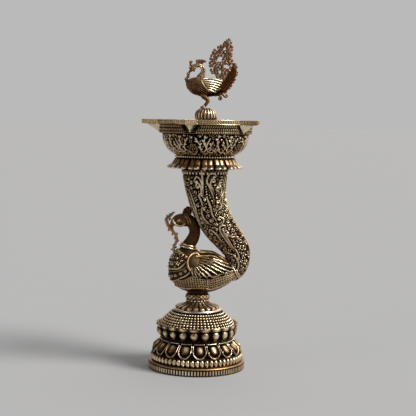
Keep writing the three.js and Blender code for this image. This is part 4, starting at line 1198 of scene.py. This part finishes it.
def build_skirt():
    """Downturned petals, and the ring of beads on them"""
    skirt = Cast()
    tip = SKIRT_RADIUS - 1.2

    def scallop(turn, radius):
        """Petal tips reach out and down, and the gaps between them draw back"""
        reach = np.clip((radius - RING_RADIUS) / (tip - RING_RADIUS), 0, 1)
        gap = reach * sector(turn, SKIRT_PETALS, 0.5) ** 4
        return -3.4 * gap, 1.1 * gap

    rows = [(STUD_BORE, SKIRT_LOW, 4, 0), (23.6, SKIRT_LOW, 2, 0), (26, SKIRT_LOW + 4.6, 2, 0)]
    rows += outline(tip, SKIRT_LOW, (-4.6, 1.5, 1, 0), (-1.8, 0.5, 0.4, 1), (0, 0.9, 0.35, 1),
                    (0.6, 2.0, 0.35, 1), (-1.0, 3.2, 0.35, 1), (-4.4, 5.2, 0.35, 1))
    rows += outline(RING_RADIUS, SKIRT_TOP, (1.0, -2.4, 0.35, 1), (-0.6, 0, 2, 0))
    rows += [(STUD_BORE, SKIRT_TOP, 4, 0)]
    turned(skirt, rows, SKIRT_PETALS * 40, skirt_carving, BOWL_AXIS, 0.2, scallop)
    skirt.piece("petal_skirt_lobes", aged, "stand", "petal_skirt", slot="bright_brass")

    ring = Cast()
    core = RING_RADIUS - 1.6
    rows = [(STUD_BORE, RING_LOW, 4, 0), (core, RING_LOW, 1, 0), (core, RING_TOP, 1, 0)]
    rows += [(STUD_BORE, RING_TOP, 4, 0)]
    turned(ring, rows, 128, axis=BOWL_AXIS, plain=0.08)
    outward = outward_at(around(RING_BEADS))
    centres = outward * (RING_RADIUS - 1.35) + (BOWL_AXIS, 0, (RING_LOW + RING_TOP) / 2)
    balls(ring, centres, outward, 1.15, 1.3, 1.35, 7, 9)
    ring.piece("rope_ring_beads", aged, "stand", "rope_ring")


# Bowl

BAND_Z = BOWL_TOP - 13.6
RIM_Z = BOWL_TOP - 4.5
RIM_RADIUS = 48.0
DRUM_RADIUS = 46.4
SPOUT_REACH = 64.0
SPOUT_ROOT, SPOUT_HALF = 44.0, 9.0  # radius where a spout's sides leave the rim, and half width there
TIP_HALF = 1.2
KEEL_END = SPOUT_REACH - 5.5
CHANNEL_ROOT, CHANNEL_END = 40.6, SPOUT_REACH - 2.7
CHANNEL_HALF = SPOUT_HALF - 1.8
PLATE_INSIDE = 44.6
RIM_INSIDE = 45.0
# Outline of the wall as (radius, height above the bowl's foot), and the radius its vine is laid out for
WALL = [(29.4, 0.0), (33.2, 1.8), (38.4, 5.8), (41.8, 11.8), (43.0, 17.8), (43.4, 21.2)]
WALL_RADIUS = 40
# A tree on the wall, beside the middle line of a spout
TRUNK = [(9.5, 0.6), (11.0, 6.0), (13.8, 10.5), (14.6, 16.0), (17.4, 22.5)]
BRANCHES = [
    [(11.0, 6.0), (8.4, 10.5), (8.0, 15.5), (5.0, 21.0)],
    [(13.8, 10.5), (17.6, 13.0), (19.2, 17.0)],
    [(14.2, 13.0), (11.8, 17.5), (12.4, 23.0)],
    [(10.2, 3.6), (14.6, 4.8), (17.2, 8.4)],
    [(16.4, 6.6), (20.4, 6.0), (22.6, 10.4)],
]
# Radius and height above the bowl's foot: the well inside the wall
WELL = [(41.6, 24.0), (41.0, 21.1), (40.2, 17), (38.8, 13.5), (36.6, 10), (33.8, 7.1), (28, 3.6)]
# The same and relief: floor, post with its bores, and the hidden back of the wall
POST = [
    (16, 3.5, 0.35), (7.6, 3.5, 0.35), (7.5, 31.4, 0.5), (6.9, 32.1, 0.8), (FINIAL_BORE, 32.1, 0.7),
    (FINIAL_BORE, 19, 0.2), (STUD_BORE + 0.05, 10.1, 0.2), (STUD_BORE + 0.05, 0.1, 0.3), (28.6, 0.1, 0.3),
    (32.0, 3.4, 0.2), (36.6, 7.8, 0.2), (39.2, 12.8, 0.2), (41.0, 17.4, 0.2), (41.8, 21.4, 0.2),
    (43.6, 25.4, 0.2), (44.0, 29.4, 0.2),
]
# The bowl sits on its stud turned a little past the bird's plane
SPOUT_TURNS = math.pi + math.radians(-5) + around(SPOUTS)


def off_spout(turn):
    """Angle from the nearest spout's middle line"""
    return np.min(np.abs((np.asarray(turn)[..., None] - SPOUT_TURNS + math.pi) % TAU - math.pi), axis=-1)


def wall_pattern(period, length):
    """Vine on the bowl's wall, for one spout's share of it: the spout is over x = 0"""
    work = Carving(period, length, (0.22, 0.22))
    # Under the spout: a ring, and a smiling flower of leaves below it
    work.dot(0, 15.2, 2.3, 1.3, 1.2)
    for heading in range(200, 341, 35):
        x, y = 2.6 * polar(math.radians(heading))
        work.leaf(x, 15.2 + y, heading, 2.8, 0.75, 1.2)
    work.dot(0, 7.6, 1.4, 1.3, 0.8)
    for k in range(7):
        heading = 8 - 32.7 * k
        x, y = 2.2 * polar(math.radians(heading))
        work.leaf(x, 7.4 + y, heading, 2.6, 0.85, 1.3)
    cup = smooth([(-5.2, 9.6), (-3.0, 3.6), (0, 2.0), (3.0, 3.6), (5.2, 9.6)], 30)
    work.stroke(cup, (0.5, 0.65, 0.5), 1.3)
    # Trees that root beside it and branch up to the drum
    for hand in (1, -1):
        work.stroke(smooth(TRUNK, 30) * (hand, 1), (1.2, 1.0, 0.85), 1.4)
        for branch in BRANCHES:
            work.sprig(smooth(branch, 24) * (hand, 1), 3.5, 2.7, 1.25, 0.85)
    work.sprig(smooth([(25, 1), (23.6, 7), (26.2, 13), (24.4, 18), (25, 24)], 30), 3.4, 2.8, 1.3, 0.9)
    work.fill(-25, 25, 0.8, length - 0.3, (2.0, 1.5, 1.1))
    return work


def build_wall():
    """The wall under the drum, with its vine"""
    cast = Cast()
    profile = smooth(WALL, 78)
    steps = distances(profile)
    period = TAU * WALL_RADIUS / SPOUTS
    work = wall_pattern(period, steps[-1])
    foot = [(26, BOWL_LOW), (29.2, BOWL_LOW)]
    back = [(40.2, BAND_Z), (38, BOWL_LOW + 14), (30, BOWL_LOW + 5), (26, BOWL_LOW + 3)]
    run = np.concatenate([np.full(len(foot), -1), steps, np.full(len(back), -1)])[:, None]
    turn = around(1160)
    height = work.sample((turn - SPOUT_TURNS[0]) / TAU * SPOUTS * period % period, run)
    lift = np.where(run < 0, 0, np.minimum(height, 1.5) - 1.2)
    mark = np.where(run < 0, 0.2, 0.01 + 0.95 * np.clip(height / 1.3, 0, 1) ** 1.2)
    revolved(cast, np.vstack([foot, profile + (0, BOWL_LOW), back]), turn, lift, mark, BOWL_AXIS)
    cast.piece("bowl_wall_vine", aged, "bowl", "oil_bowl")


def keel_edge(up):
    """Half width in mm of the bare field under a spout, at a share of the drum's height"""
    return 3.2 + 6.4 * up


def drum_carving(turn, z, radius):
    """Two rows of slanted scales between cords; a framed keel field under each spout"""
    up = np.clip((z - BAND_Z) / (RIM_Z - BAND_Z), 0, 1)
    far = off_spout(turn) * DRUM_RADIUS
    row = (up - 0.27) / 0.34
    lean = turn * DRUM_RADIUS / 2.2 - 0.45 * (row % 1) + 0.5 * (np.floor(row) % 2)
    across = (lean % 1) * 2 - 1
    scale = bump(np.hypot(across * 1.06, ((row % 1) - 0.5) * 1.9))
    scale = np.where((row > 0) & (row < 2), scale, 0)
    beads = bump(np.hypot(sector(turn, 132), (up - 0.13) / 0.12))
    cords = np.maximum(line((up - 0.25) / 0.035), line((up - 0.97) / 0.04))
    frame_line = line((far - keel_edge(up) - 1.4) / 0.5)
    bare = far < keel_edge(up) + 2.2
    height = np.where(bare, 0.1, np.maximum(0.9 * scale, 0.9 * beads))
    height = np.maximum(height, np.maximum(0.6 * cords, 0.8 * frame_line))
    mark = np.where(bare, 0.06, 0.01 + 0.72 * np.maximum(scale, beads) ** 1.6)
    return height - 0.9, np.maximum(mark, np.maximum(0.55 * frame_line, 0.5 * cords))


def build_drum():
    """Scaled band between the wall and the rim"""
    cast = Cast()
    rows = [(42.0, BAND_Z, 3, 0), (DRUM_RADIUS - 1.8, BAND_Z, 0.5, 0), (DRUM_RADIUS, BAND_Z + 0.5, 0.28, 1),
            (DRUM_RADIUS + 0.5, RIM_Z, 1, 0), (43.0, RIM_Z, 3, 0)]
    turned(cast, rows, 1500, drum_carving, BOWL_AXIS)
    cast.piece("bowl_drum_band", aged, "bowl", "oil_bowl")


def keel_drop(along, across):
    """How far a spout's underside hangs below the rim plate, at a place along and across the spout"""
    share = np.clip((KEEL_END - along) / (KEEL_END - SPOUT_ROOT), 0, 1)
    width = (SPOUT_HALF - TIP_HALF) * share + 1e-6
    return 10.0 * share * np.clip(1 - across / width, 0, 1)


def channel_drop(along, across):
    """Depth of the wick channel, from its closed end to the well"""
    share = np.clip((CHANNEL_END - along) / (CHANNEL_END - CHANNEL_ROOT), 0, 1)
    return (1.5 + 8.8 * share) * np.clip(1 - across / (CHANNEL_HALF * share + 1e-6), 0, 1)


def straight_side(nearest, half, root, reach):
    """Distance from the axis, along a ray, to a spout side that narrows from half at root to its tip"""
    taper = (half - TIP_HALF) / (reach - root)
    return (half + taper * root) / (np.sin(nearest) + taper * np.cos(nearest))


def build_rim():
    """Rim plate, spouts with keel and wick channel, inner well and post"""
    cast = Cast()
    turn = around(1440)
    nearest = off_spout(turn)
    near = nearest < 0.6
    side = straight_side(nearest, SPOUT_HALF, SPOUT_ROOT, SPOUT_REACH)
    side = np.minimum(side, SPOUT_REACH / np.cos(nearest))
    edge = np.maximum(RIM_RADIUS, np.where(near, side, 0))
    channel = straight_side(nearest, CHANNEL_HALF + TIP_HALF, CHANNEL_ROOT, CHANNEL_END + TIP_HALF) - TIP_HALF
    inner = np.maximum(RIM_INSIDE, np.where(near, np.minimum(channel, CHANNEL_END), 0))
    rows = []

    def ring(radius, z, mark):
        rows.append([np.broadcast_to(value, len(turn)) for value in (radius, z, mark)])

    # Underside: flat plate with the keels, ridge bright and sides dark
    for share in np.linspace(0, 1, 13):
        radius = PLATE_INSIDE + (edge - PLATE_INSIDE) * share
        across = radius * np.sin(nearest)
        drop = keel_drop(radius * np.cos(nearest), across)
        sharp = line(across / 0.9) * (drop > 0.3)
        ring(radius - 0.01, RIM_Z + 0.15 - drop, np.where(drop > 0.2, 0.72 + 0.28 * sharp, 0.25))
    # Edge: two lines with a row of punched rings between, evenly spaced along the outline
    corners = edge[:, None] * polar(turn)
    place = np.cumsum(np.linalg.norm(np.roll(corners, -1, 0) - corners, axis=1)) / 2.7
    punch = ((place * (round(place[-1]) / place[-1])) % 1) * 2 - 1
    for share in np.linspace(0, 1, 12):
        dots = line((np.hypot(punch, (share - 0.5) / 0.34) - 0.60) / 0.24)
        raised = np.maximum(dots, 1.0 if share < 0.1 or share > 0.88 else 0.0)
        ring(edge - 0.45 + 0.35 * raised, RIM_Z + (BOWL_TOP - RIM_Z) * share, 0.22 + 0.68 * raised)
    ring(edge - 0.9, BOWL_TOP, 0.8)
    ring((edge + inner) / 2, BOWL_TOP, 0.75)
    ring(inner, BOWL_TOP, 0.75)
    # Wick channels down into the well, then the post and the back of the wall
    for share in np.arange(1, 8) / 7:
        radius = inner + (43.8 - inner) * share
        drop = channel_drop(radius * np.cos(nearest), radius * np.sin(nearest))
        ring(radius, BOWL_TOP - np.maximum(drop, 4.5 * np.clip((RIM_INSIDE - radius) / 1.2, 0, 1)), 0.5)
    for radius, z in WELL:
        ring(radius, np.minimum(BOWL_LOW + z, rows[-1][1] - 0.05), 0.35)
    for radius, z, mark in POST:
        ring(radius, BOWL_LOW + z, mark)
    radius, up, marks = np.stack(rows, 1)
    points = np.stack([BOWL_AXIS + radius * np.cos(turn), radius * np.sin(turn), up], -1)
    cast.grid(points, marks, loop_rows=True)
    cast.piece("bowl_rim_spouts", gilt, "bowl", "oil_bowl")


def build_bowl():
    build_wall()
    build_drum()
    build_rim()


# Finial, in millimetres from the bowl's axis and above the knob's underside

SMALL_BODY = [  # x, lowest z, highest z, half width
    (-20.2, 36.0, 39.6, 1.6), (-19, 33.2, 41.4, 4.4), (-16.4, 30.2, 42.6, 6.2), (-12, 27.4, 44.0, 7.4),
    (-6, 25.8, 44.8, 7.8), (0, 25.2, 43.8, 7.4), (6, 25.6, 42.2, 6.2), (11, 27.2, 40.6, 4.8),
    (16, 30, 39.2, 3.4),
]
SMALL_NECK = [  # x, z, radius
    (-7.4, 40.5, 4.4), (-5.8, 44.5, 3.9), (-4.0, 48.0, 2.8), (-3.5, 51.5, 2.2), (-5.2, 54.9, 2.1),
    (-8.0, 56.2, 2.1), (-11.0, 55.6, 2.3), (-13.0, 53.6, 2.3), (-13.0, 51.6, 1.9), (-11.6, 51.0, 1.4),
]
SMALL_LEG = [
    (-4.4, 29.5, 3.4), (-2.6, 26.0, 2.9), (0.2, 23.4, 2.2), (1.6, 21.0, 1.7), (0.2, 18.4, 1.5),
    (-1.4, 16.0, 1.4),
]
SMALL_TOE = [(-1.2, 16.0), (-3.4, 15.2), (-5.6, 14.5)]
SMALL_VINE = [
    (-14.6, 60.2), (-16.5, 57.9), (-15.9, 54.9), (-15.9, 51.9), (-17.4, 49), (-18.3, 46.3), (-19.3, 43.6),
    (-20.2, 41.4), (-19.6, 39),
]
KNOB_FLUTES = 20


def knob_carving(turn, z, radius):
    flute = bump(sector(turn, KNOB_FLUTES) * 0.97)
    return 1.4 * (flute - 1), 0.02 + 0.90 * flute**3


def build_knob():
    """Fluted knob on the bowl's post"""
    cast = Cast()
    low = KNOB_LOW
    side = outline(KNOB_RADIUS, low, (-2.6, 0, 0.5, 0), (-1.2, 0.9, 0.35, 1), (-0.4, 2.6, 0.35, 1),
                   (-0.05, 4.6, 0.35, 1), (-0.05, 6.8, 0.35, 1), (-0.4, 8.8, 0.35, 1), (-1.2, 10.6, 0.35, 1),
                   (-2.5, 12.1, 0.35, 1), (-4.2, 13.2, 0.35, 1))
    top = [(KNOB_RADIUS - 6.4, KNOB_TOP, 0.5, 0), (FINIAL_BORE, KNOB_TOP, 1, 0), (FINIAL_BORE, low + 9, 3, 0)]
    turned(cast, [(FINIAL_BORE, low, 2, 0), *side, *top], KNOB_FLUTES * 24, knob_carving, BOWL_AXIS)
    cast.piece("knob_flutes", aged, "finial", "finial_knob")


def wing_line(start, end, sag):
    """18 points from start to end (x, z) that sag below the straight line by sag"""
    share = np.linspace(0, 1, 18)[:, None]
    start = np.array(start)
    return start + (end - start) * share - np.array([0, 1]) * 4 * sag * share * (1 - share)


def build_small_bird():
    """Small bird: scaled body, neck, wings, legs and feet"""
    cast, limbs, wings = Cast(), Cast(), Cast()
    x, z, points, out = bird_body(SMALL_BODY, 110, 120, at_finial, (BOWL_AXIS - 2, 0, KNOB_LOW + 35))
    row = x / 1.7
    across = ((z / 2.0 + 0.5 * (np.floor(row) % 2)) % 1) * 2 - 1
    # Scales on the breast and belly
    arch = line((np.hypot(across, row % 1) - 0.85) / 0.25) * np.clip((3 - x) / 3, 0, 1)
    cast.grid(points + 0.4 * arch[..., None] * out, 0.22 + 0.62 * arch)
    neck = smooth(SMALL_NECK, 60)
    tube(limbs, at_finial(neck), neck[:, 2], 18, 0.95, mark=0.85)
    leg = smooth(SMALL_LEG, 30)
    station = smooth(SMALL_BODY, 110)

    def on_side(path, lift, y):
        """Points laid on one side of the bird and raised by lift"""
        return at_finial(path, y * (side_at(station, path[:, 0], path[:, 1], 0.92) + lift))

    for y in (-1, 1):
        # Pale raised lines down the neck, their brightness a painted highlight along its edges, and the eye
        for shift in (-0.55, 0.62):
            edge = neck[:44] + neck[:44, 2:] * (shift, 0, 0)
            tube(wings, at_finial(edge, y * 0.8 * edge[:, 2]), 0.55, 7, mark=0.8)
        balls(cast, at_finial((-12.4, 53.0), y * 2.0), (0, y, 0), 1.5, 1.5, 1.1, 6, 12)
        # Wing: feathers that sweep back from a round shoulder, over a curved lower edge
        for k in range(6):
            root = (-4.6 + 1.1 * k, 42.6 - 2.0 * k)
            path = wing_line(root, (16.4 - 1.4 * k, 40.4 - 2.15 * k), -1.1 + 0.3 * k)
            tube(wings, on_side(path, 0.4, y), 1.05 * np.sin(np.linspace(0.5, 2.75, 18)), 10, 0.9)
        tube(wings, on_side(wing_line((-6.2, 41.0), (1.4, 31.0), 1.4), 0.3, y), 0.9, 9, mark=0.55)
        tube(wings, on_side(wing_line((0.6, 30.6), (13.6, 33.6), 1.6), 0.3, y), 0.75, 9, mark=0.55)
        # Thick bent leg and its foot
        tube(limbs, at_finial(leg, y * np.linspace(2.0, 3.4, 30)), leg[:, 2], 12, mark=0.7)
        for spread in (-1, 0, 1):
            toe = at_finial(SMALL_TOE, 3.4 * y + np.array([0, 0.7, 1.4]) * spread)
            tube(limbs, toe, (1.2, 1.0, 0.6), 7)
    cast.piece("small_peacock", umber, "finial", "finial_peacock")
    wings.piece("small_wings", aged, "finial", "finial_peacock", slot="bright_brass")
    limbs.piece("small_neck_and_legs", umber, "finial", "finial_peacock", slot="dark_brass")


def build_small_crest():
    cast = Cast()
    for k in range(4):
        path = scroll((-9.2 + 1.2 * k, 57.6), 112 - 22 * k, 2.6 + 0.5 * k, 0.8, 0.6, -1, 10)
        tube(cast, at_finial(path), 1.0, 8, 1.2)
    cast.piece("small_crest", russet, "finial", "finial_crest", slot="dark_brass")


def build_small_vine():
    """Wavy stem from the beak to the breast, with a berry on each bend"""
    cast = Cast()
    stem = smooth(SMALL_VINE, 40)
    tube(cast, at_finial(stem), np.linspace(0.9, 1.3, 40), 8)
    for k in range(2, 40, 5):
        place = at_finial(stem[k]) + (0.9 if k % 2 else -0.9, 0, 0)
        balls(cast, place, (0, -1, 0), 1.35, 1.25, 1.5, 6, 9)
    cast.piece("small_vine", russet, "finial", "finial_vine", slot="dark_brass")


# Openwork tail, as points (x, z) with a radius where it varies: its broad ribbed root, the outline of
# the lace above it, the lace's holes as (x, z, half width, half height), and the stems through it
TAIL_ROOT = [
    (4, 33, 5.2), (9, 32.2, 6.2), (14, 33.6, 6.2), (18.4, 37, 5.4), (22.2, 41.6, 4.7), (25.2, 46.6, 4.1),
    (26.8, 51.6, 3.2), (26.6, 55.6, 1.7), (25.9, 58.2, 0.25),
]
LACE = [
    (10.4, 44.6), (7.4, 48.4), (5.0, 53.6), (4.4, 59.2), (5.8, 65.4), (8.6, 70.6), (12.4, 73.6),
    (16.8, 75.6), (19.0, 78.9), (20.4, 81.4), (22.6, 77.8), (23.4, 73.0), (22.6, 66.4), (23.8, 60.6),
    (22.4, 55.4), (20.4, 50.0), (18.6, 44.4), (14.4, 42.4),
]
HOLES = [(13.2, 61.8, 3.3, 3.2), (18.6, 55.6, 2.1, 2.2), (17.6, 72.2, 1.5, 2.2), (13.0, 50.6, 1.3, 2.0)]
STEMS = [
    [(14, 38), (11.4, 43), (9.4, 48), (8.8, 53), (8.6, 57.6), (9.2, 62.4), (11.6, 65.8), (15.2, 65.6),
     (17.4, 62.6)],
    [(18, 40), (17.0, 45), (15.4, 49.6), (15.6, 53.6), (16.2, 58.0), (19.0, 59.2), (21.6, 57.0)],
    [(9.6, 58), (7.2, 63.6), (9.4, 68.8), (13.6, 71.6), (16.4, 75.0), (19.0, 78.6), (19.8, 82.2)],
    [(16.6, 64.4), (19.4, 68.0), (20.6, 72.6), (20.6, 77.0), (20.2, 81.4)],
    [(22.4, 58.6), (21.4, 63.0), (22.0, 68.0), (20.8, 72.6)],
    [(23.6, 50.6), (20.6, 52.2), (18.2, 50.0), (17.4, 46.0)],
]


def inside_lace(x, z):
    """Whether (x, z) is in the lace's outline and out of its holes"""
    crossings = 0
    for (ax, az), (bx, bz) in zip(LACE, LACE[1:] + LACE[:1]):
        if (az > z) != (bz > z) and x < ax + (z - az) * (bx - ax) / (bz - az):
            crossings += 1
    open_here = any(math.hypot((x - hx) / half, (z - hz) / tall) < 1 for hx, hz, half, tall in HOLES)
    return crossings % 2 == 1 and not open_here


def build_plume():
    """Ribbed root, stems, a lace of small scrolls, and curled tips round its outline"""
    cast = Cast()
    # Root: a flattened band with ribs along it
    band = smooth(TAIL_ROOT, 70)
    centre = at_finial(band)
    swell = band[:, 2, None, None]
    side = np.cross(unit(np.gradient(centre, axis=0)), (0, 1.0, 0))
    turn = around(96)
    rib = np.abs(np.cos(2.5 * math.pi * np.cos(turn)))
    deep = in_plane(np.zeros((96, 2)), 0.42 * np.sin(turn) * (0.82 + 0.18 * rib))
    cast.grid(centre[:, None] + swell * (np.cos(turn)[:, None] * side[:, None] + deep), 0.10 + 0.62 * rib**2)
    for stem in STEMS:
        tube(cast, at_finial(smooth(stem, 60)), np.linspace(1.4, 0.85, 60), 12, 1.1)
    # Two curls that hang below the root
    for start, heading, hand in (((12.6, 28.6), -62, -1), ((15.4, 29.2), -48, 1)):
        curl = scroll(start, heading, 4.6, 1.5, 0.8, hand, 20)
        tube(cast, at_finial(curl), np.linspace(1.3, 0.75, len(curl)), 10, 1.1)
    # Lace of small scrolls, each touching its neighbours
    made = 0
    share = np.linspace(0, 1, 20)
    for row, z in enumerate(np.arange(44.0, 81, 2.9)):
        for x in np.arange(3.5 + 1.65 * (row % 2), 26, 3.3):
            if not inside_lace(x, z):
                continue
            made += 1
            angle = math.radians(made * 67) + (1 if made % 2 else -1) * 2.5 * math.pi * share
            ring = (x, z) + (1.85 - 1.25 * share)[:, None] * polar(angle)
            tube(cast, at_finial(ring, 0.5 * math.sin(made * 2.1)), np.linspace(0.76, 0.6, 20), 8, 1.2)
    # Curled tips round the outline and down the root's outer edge
    root = np.array(TAIL_ROOT)
    facing = np.linspace(-1.5, 1.2, len(root))
    outer = smooth(root[:, :2] + 0.70 * root[:, 2:] * polar(facing), 80)
    for path, gap, aside in ((smooth(LACE[1:-2], 200), 3.3, 90), (outer, 3.6, -90)):
        far = distances(path)
        for k, at in enumerate(np.arange(1.0, far[-1], gap)):
            i = min(int(np.searchsorted(far, at)), len(path) - 2)
            hand = 1 if k % 2 else -1
            heading = bearing(path[i + 1] - path[i]) + aside - 25 * hand
            curl = scroll(path[i], heading, 0.8, 1.1, 0.8, hand, 14)
            tube(cast, at_finial(curl), np.linspace(0.95, 0.65, len(curl)), 8, 1.1)
            balls(cast, at_finial(curl[-1]), (0, -1, 0), 0.8, 0.8, 1.1, 6, 8)
    cast.piece("openwork_plume", russet, "finial", "finial_tail", slot="dark_brass")
# Stage, light and camera

FLOOR_SIZE = 40.0
FLOOR_COLOUR = (0.428, 0.430, 0.438, 1)
EVEN_LIGHT = (0.25, 0.246, 0.242, 1)
BACKDROP = (0.492, 0.492, 0.490, 1)
# The room that the metal mirrors runs from dark to pale along this direction
ROOM_WAY = (0.50, 0.22, 0.28)
ROOM_STOPS = [
    (0.10, (0.020, 0.012, 0.007)), (0.45, (0.10, 0.060, 0.032)),
    (0.66, (0.49, 0.47, 0.44)), (0.88, (1.0, 0.98, 0.94)),
]


def build_floor():
    """Wide level floor under the foot"""
    mesh = bpy.data.meshes.new("floor")
    size = FLOOR_SIZE
    corners = [(-size, -size, 0), (size, -size, 0), (size, size, 0), (-size, size, 0)]
    mesh.from_pydata(corners, [], [(0, 1, 2, 3)])
    floor = bpy.data.objects.new("floor", mesh)
    bpy.context.scene.collection.objects.link(floor)
    material = bpy.data.materials.new("pale_floor")
    material.use_nodes = True
    shader = material.node_tree.nodes["Principled BSDF"]
    shader.inputs["Base Color"].default_value = FLOOR_COLOUR
    shader.inputs["Roughness"].default_value = 0.9
    shader.inputs["Specular IOR Level"].default_value = 0.1
    mesh.materials.append(material)


def build_world():
    """Even light, the floor's grey behind, and a room that is dim in front and pale behind in the metal"""
    world = bpy.data.worlds.new("studio")
    bpy.context.scene.world = world
    world.use_nodes = True
    tree = world.node_tree
    even = tree.nodes["Background"]
    even.inputs["Color"].default_value = EVEN_LIGHT
    seen = add(tree, "ShaderNodeBackground", {"Color": BACKDROP})

    way = add(tree, "ShaderNodeTexCoord", {}).outputs["Generated"]
    facing = add(tree, "ShaderNodeVectorMath", {0: way, 1: ROOM_WAY}, "DOT_PRODUCT")
    shift = add(tree, "ShaderNodeMath", {0: facing.outputs["Value"], 1: 0.8, 2: 0.5}, "MULTIPLY_ADD")
    room = add(tree, "ShaderNodeBackground", {"Color": add_ramp(tree, shift.outputs["Value"], ROOM_STOPS)})

    rays = add(tree, "ShaderNodeLightPath", {}).outputs
    sockets = {0: rays["Is Glossy Ray"], 1: even.outputs["Background"], 2: room.outputs["Background"]}
    metal = add(tree, "ShaderNodeMixShader", sockets)
    sockets = {0: rays["Is Camera Ray"], 1: rays["Is Transmission Ray"]}
    direct = add(tree, "ShaderNodeMath", sockets, "MAXIMUM")
    sockets = {0: direct.outputs["Value"], 1: metal.outputs["Shader"], 2: seen.outputs["Background"]}
    last = add(tree, "ShaderNodeMixShader", sockets)
    tree.links.new(last.outputs["Shader"], tree.nodes["World Output"].inputs["Surface"])


def studio_light(name, azimuth, elevation, strength, softness, colour=(1, 1, 1)):
    """A wide lamp, azimuth in degrees from the front towards the right"""
    light = bpy.data.lights.new(name, "SUN")
    light.energy = strength
    light.angle = math.radians(softness)
    light.color = colour
    holder = bpy.data.objects.new(name, light)
    bpy.context.scene.collection.objects.link(holder)
    turn, rise = math.radians(azimuth), math.radians(elevation)
    towards = Vector((-math.sin(turn) * math.cos(rise), math.cos(turn) * math.cos(rise), -math.sin(rise)))
    holder.rotation_euler = towards.to_track_quat("-Z", "Y").to_euler()


def build_lights():
    studio_light("key", 62, 44, 3.1, 26, (1.0, 0.985, 0.96))
    studio_light("top", 150, 68, 0.55, 50)
    studio_light("fill", -62, 22, 0.35, 40, (1.0, 0.92, 0.82))


CAMERA_DISTANCE = 1.080
CAMERA_HEIGHT = 0.2494
CAMERA_AZIMUTH = math.radians(-4)
CAMERA_YAW = math.radians(-0.467)
CAMERA_PITCH = math.radians(4.66)
CAMERA_ROLL = math.radians(1.1)
PHOTO_PIXELS = 416
PIXELS_PER_METRE = 1000  # in the photo, at the pedestal's axis
SENSOR = 36


def build_camera():
    """Camera as far from the lamp, as high and as turned as the photo was taken"""
    data = bpy.data.cameras.new("camera")
    data.sensor_width = SENSOR
    data.lens = SENSOR * CAMERA_DISTANCE * PIXELS_PER_METRE / PHOTO_PIXELS
    data.clip_start = 0.05
    camera = bpy.data.objects.new("camera", data)
    bpy.context.scene.collection.objects.link(camera)
    swing = CAMERA_AZIMUTH + CAMERA_YAW
    ahead = np.array([-math.sin(swing), math.cos(swing), 0])
    right = np.array([math.cos(swing), math.sin(swing), 0])
    ahead = ahead * math.cos(CAMERA_PITCH) - np.array([0, 0, math.sin(CAMERA_PITCH)])
    up = np.cross(right, ahead)
    leaned = right * math.cos(CAMERA_ROLL) + up * math.sin(CAMERA_ROLL)
    upright = up * math.cos(CAMERA_ROLL) - right * math.sin(CAMERA_ROLL)
    side = CAMERA_DISTANCE * math.sin(CAMERA_AZIMUTH)
    back = -CAMERA_DISTANCE * math.cos(CAMERA_AZIMUTH)
    camera.matrix_world = Matrix([
        (leaned[0], upright[0], -ahead[0], side),
        (leaned[1], upright[1], -ahead[1], back),
        (leaned[2], upright[2], -ahead[2], CAMERA_HEIGHT),
        (0, 0, 0, 1),
    ])
    bpy.context.scene.camera = camera


bpy.context.scene.view_settings.view_transform = "Standard"

build_camera()
build_floor()
build_world()
build_lights()
build_base()
build_dome()
build_cushion()
build_collar()
build_body()
build_wings()
build_neck()
build_crest()
build_vine()
build_column()
build_skirt()
build_bowl()
build_knob()
build_small_bird()
build_small_crest()
build_small_vine()
build_plume()

for node in ("tie_rod", "tie_washer", "tie_nut", "bowl_stud", "finial_stud"):
    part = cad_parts[node]
    part.data.materials.clear()
    part.data.materials.append(steel)
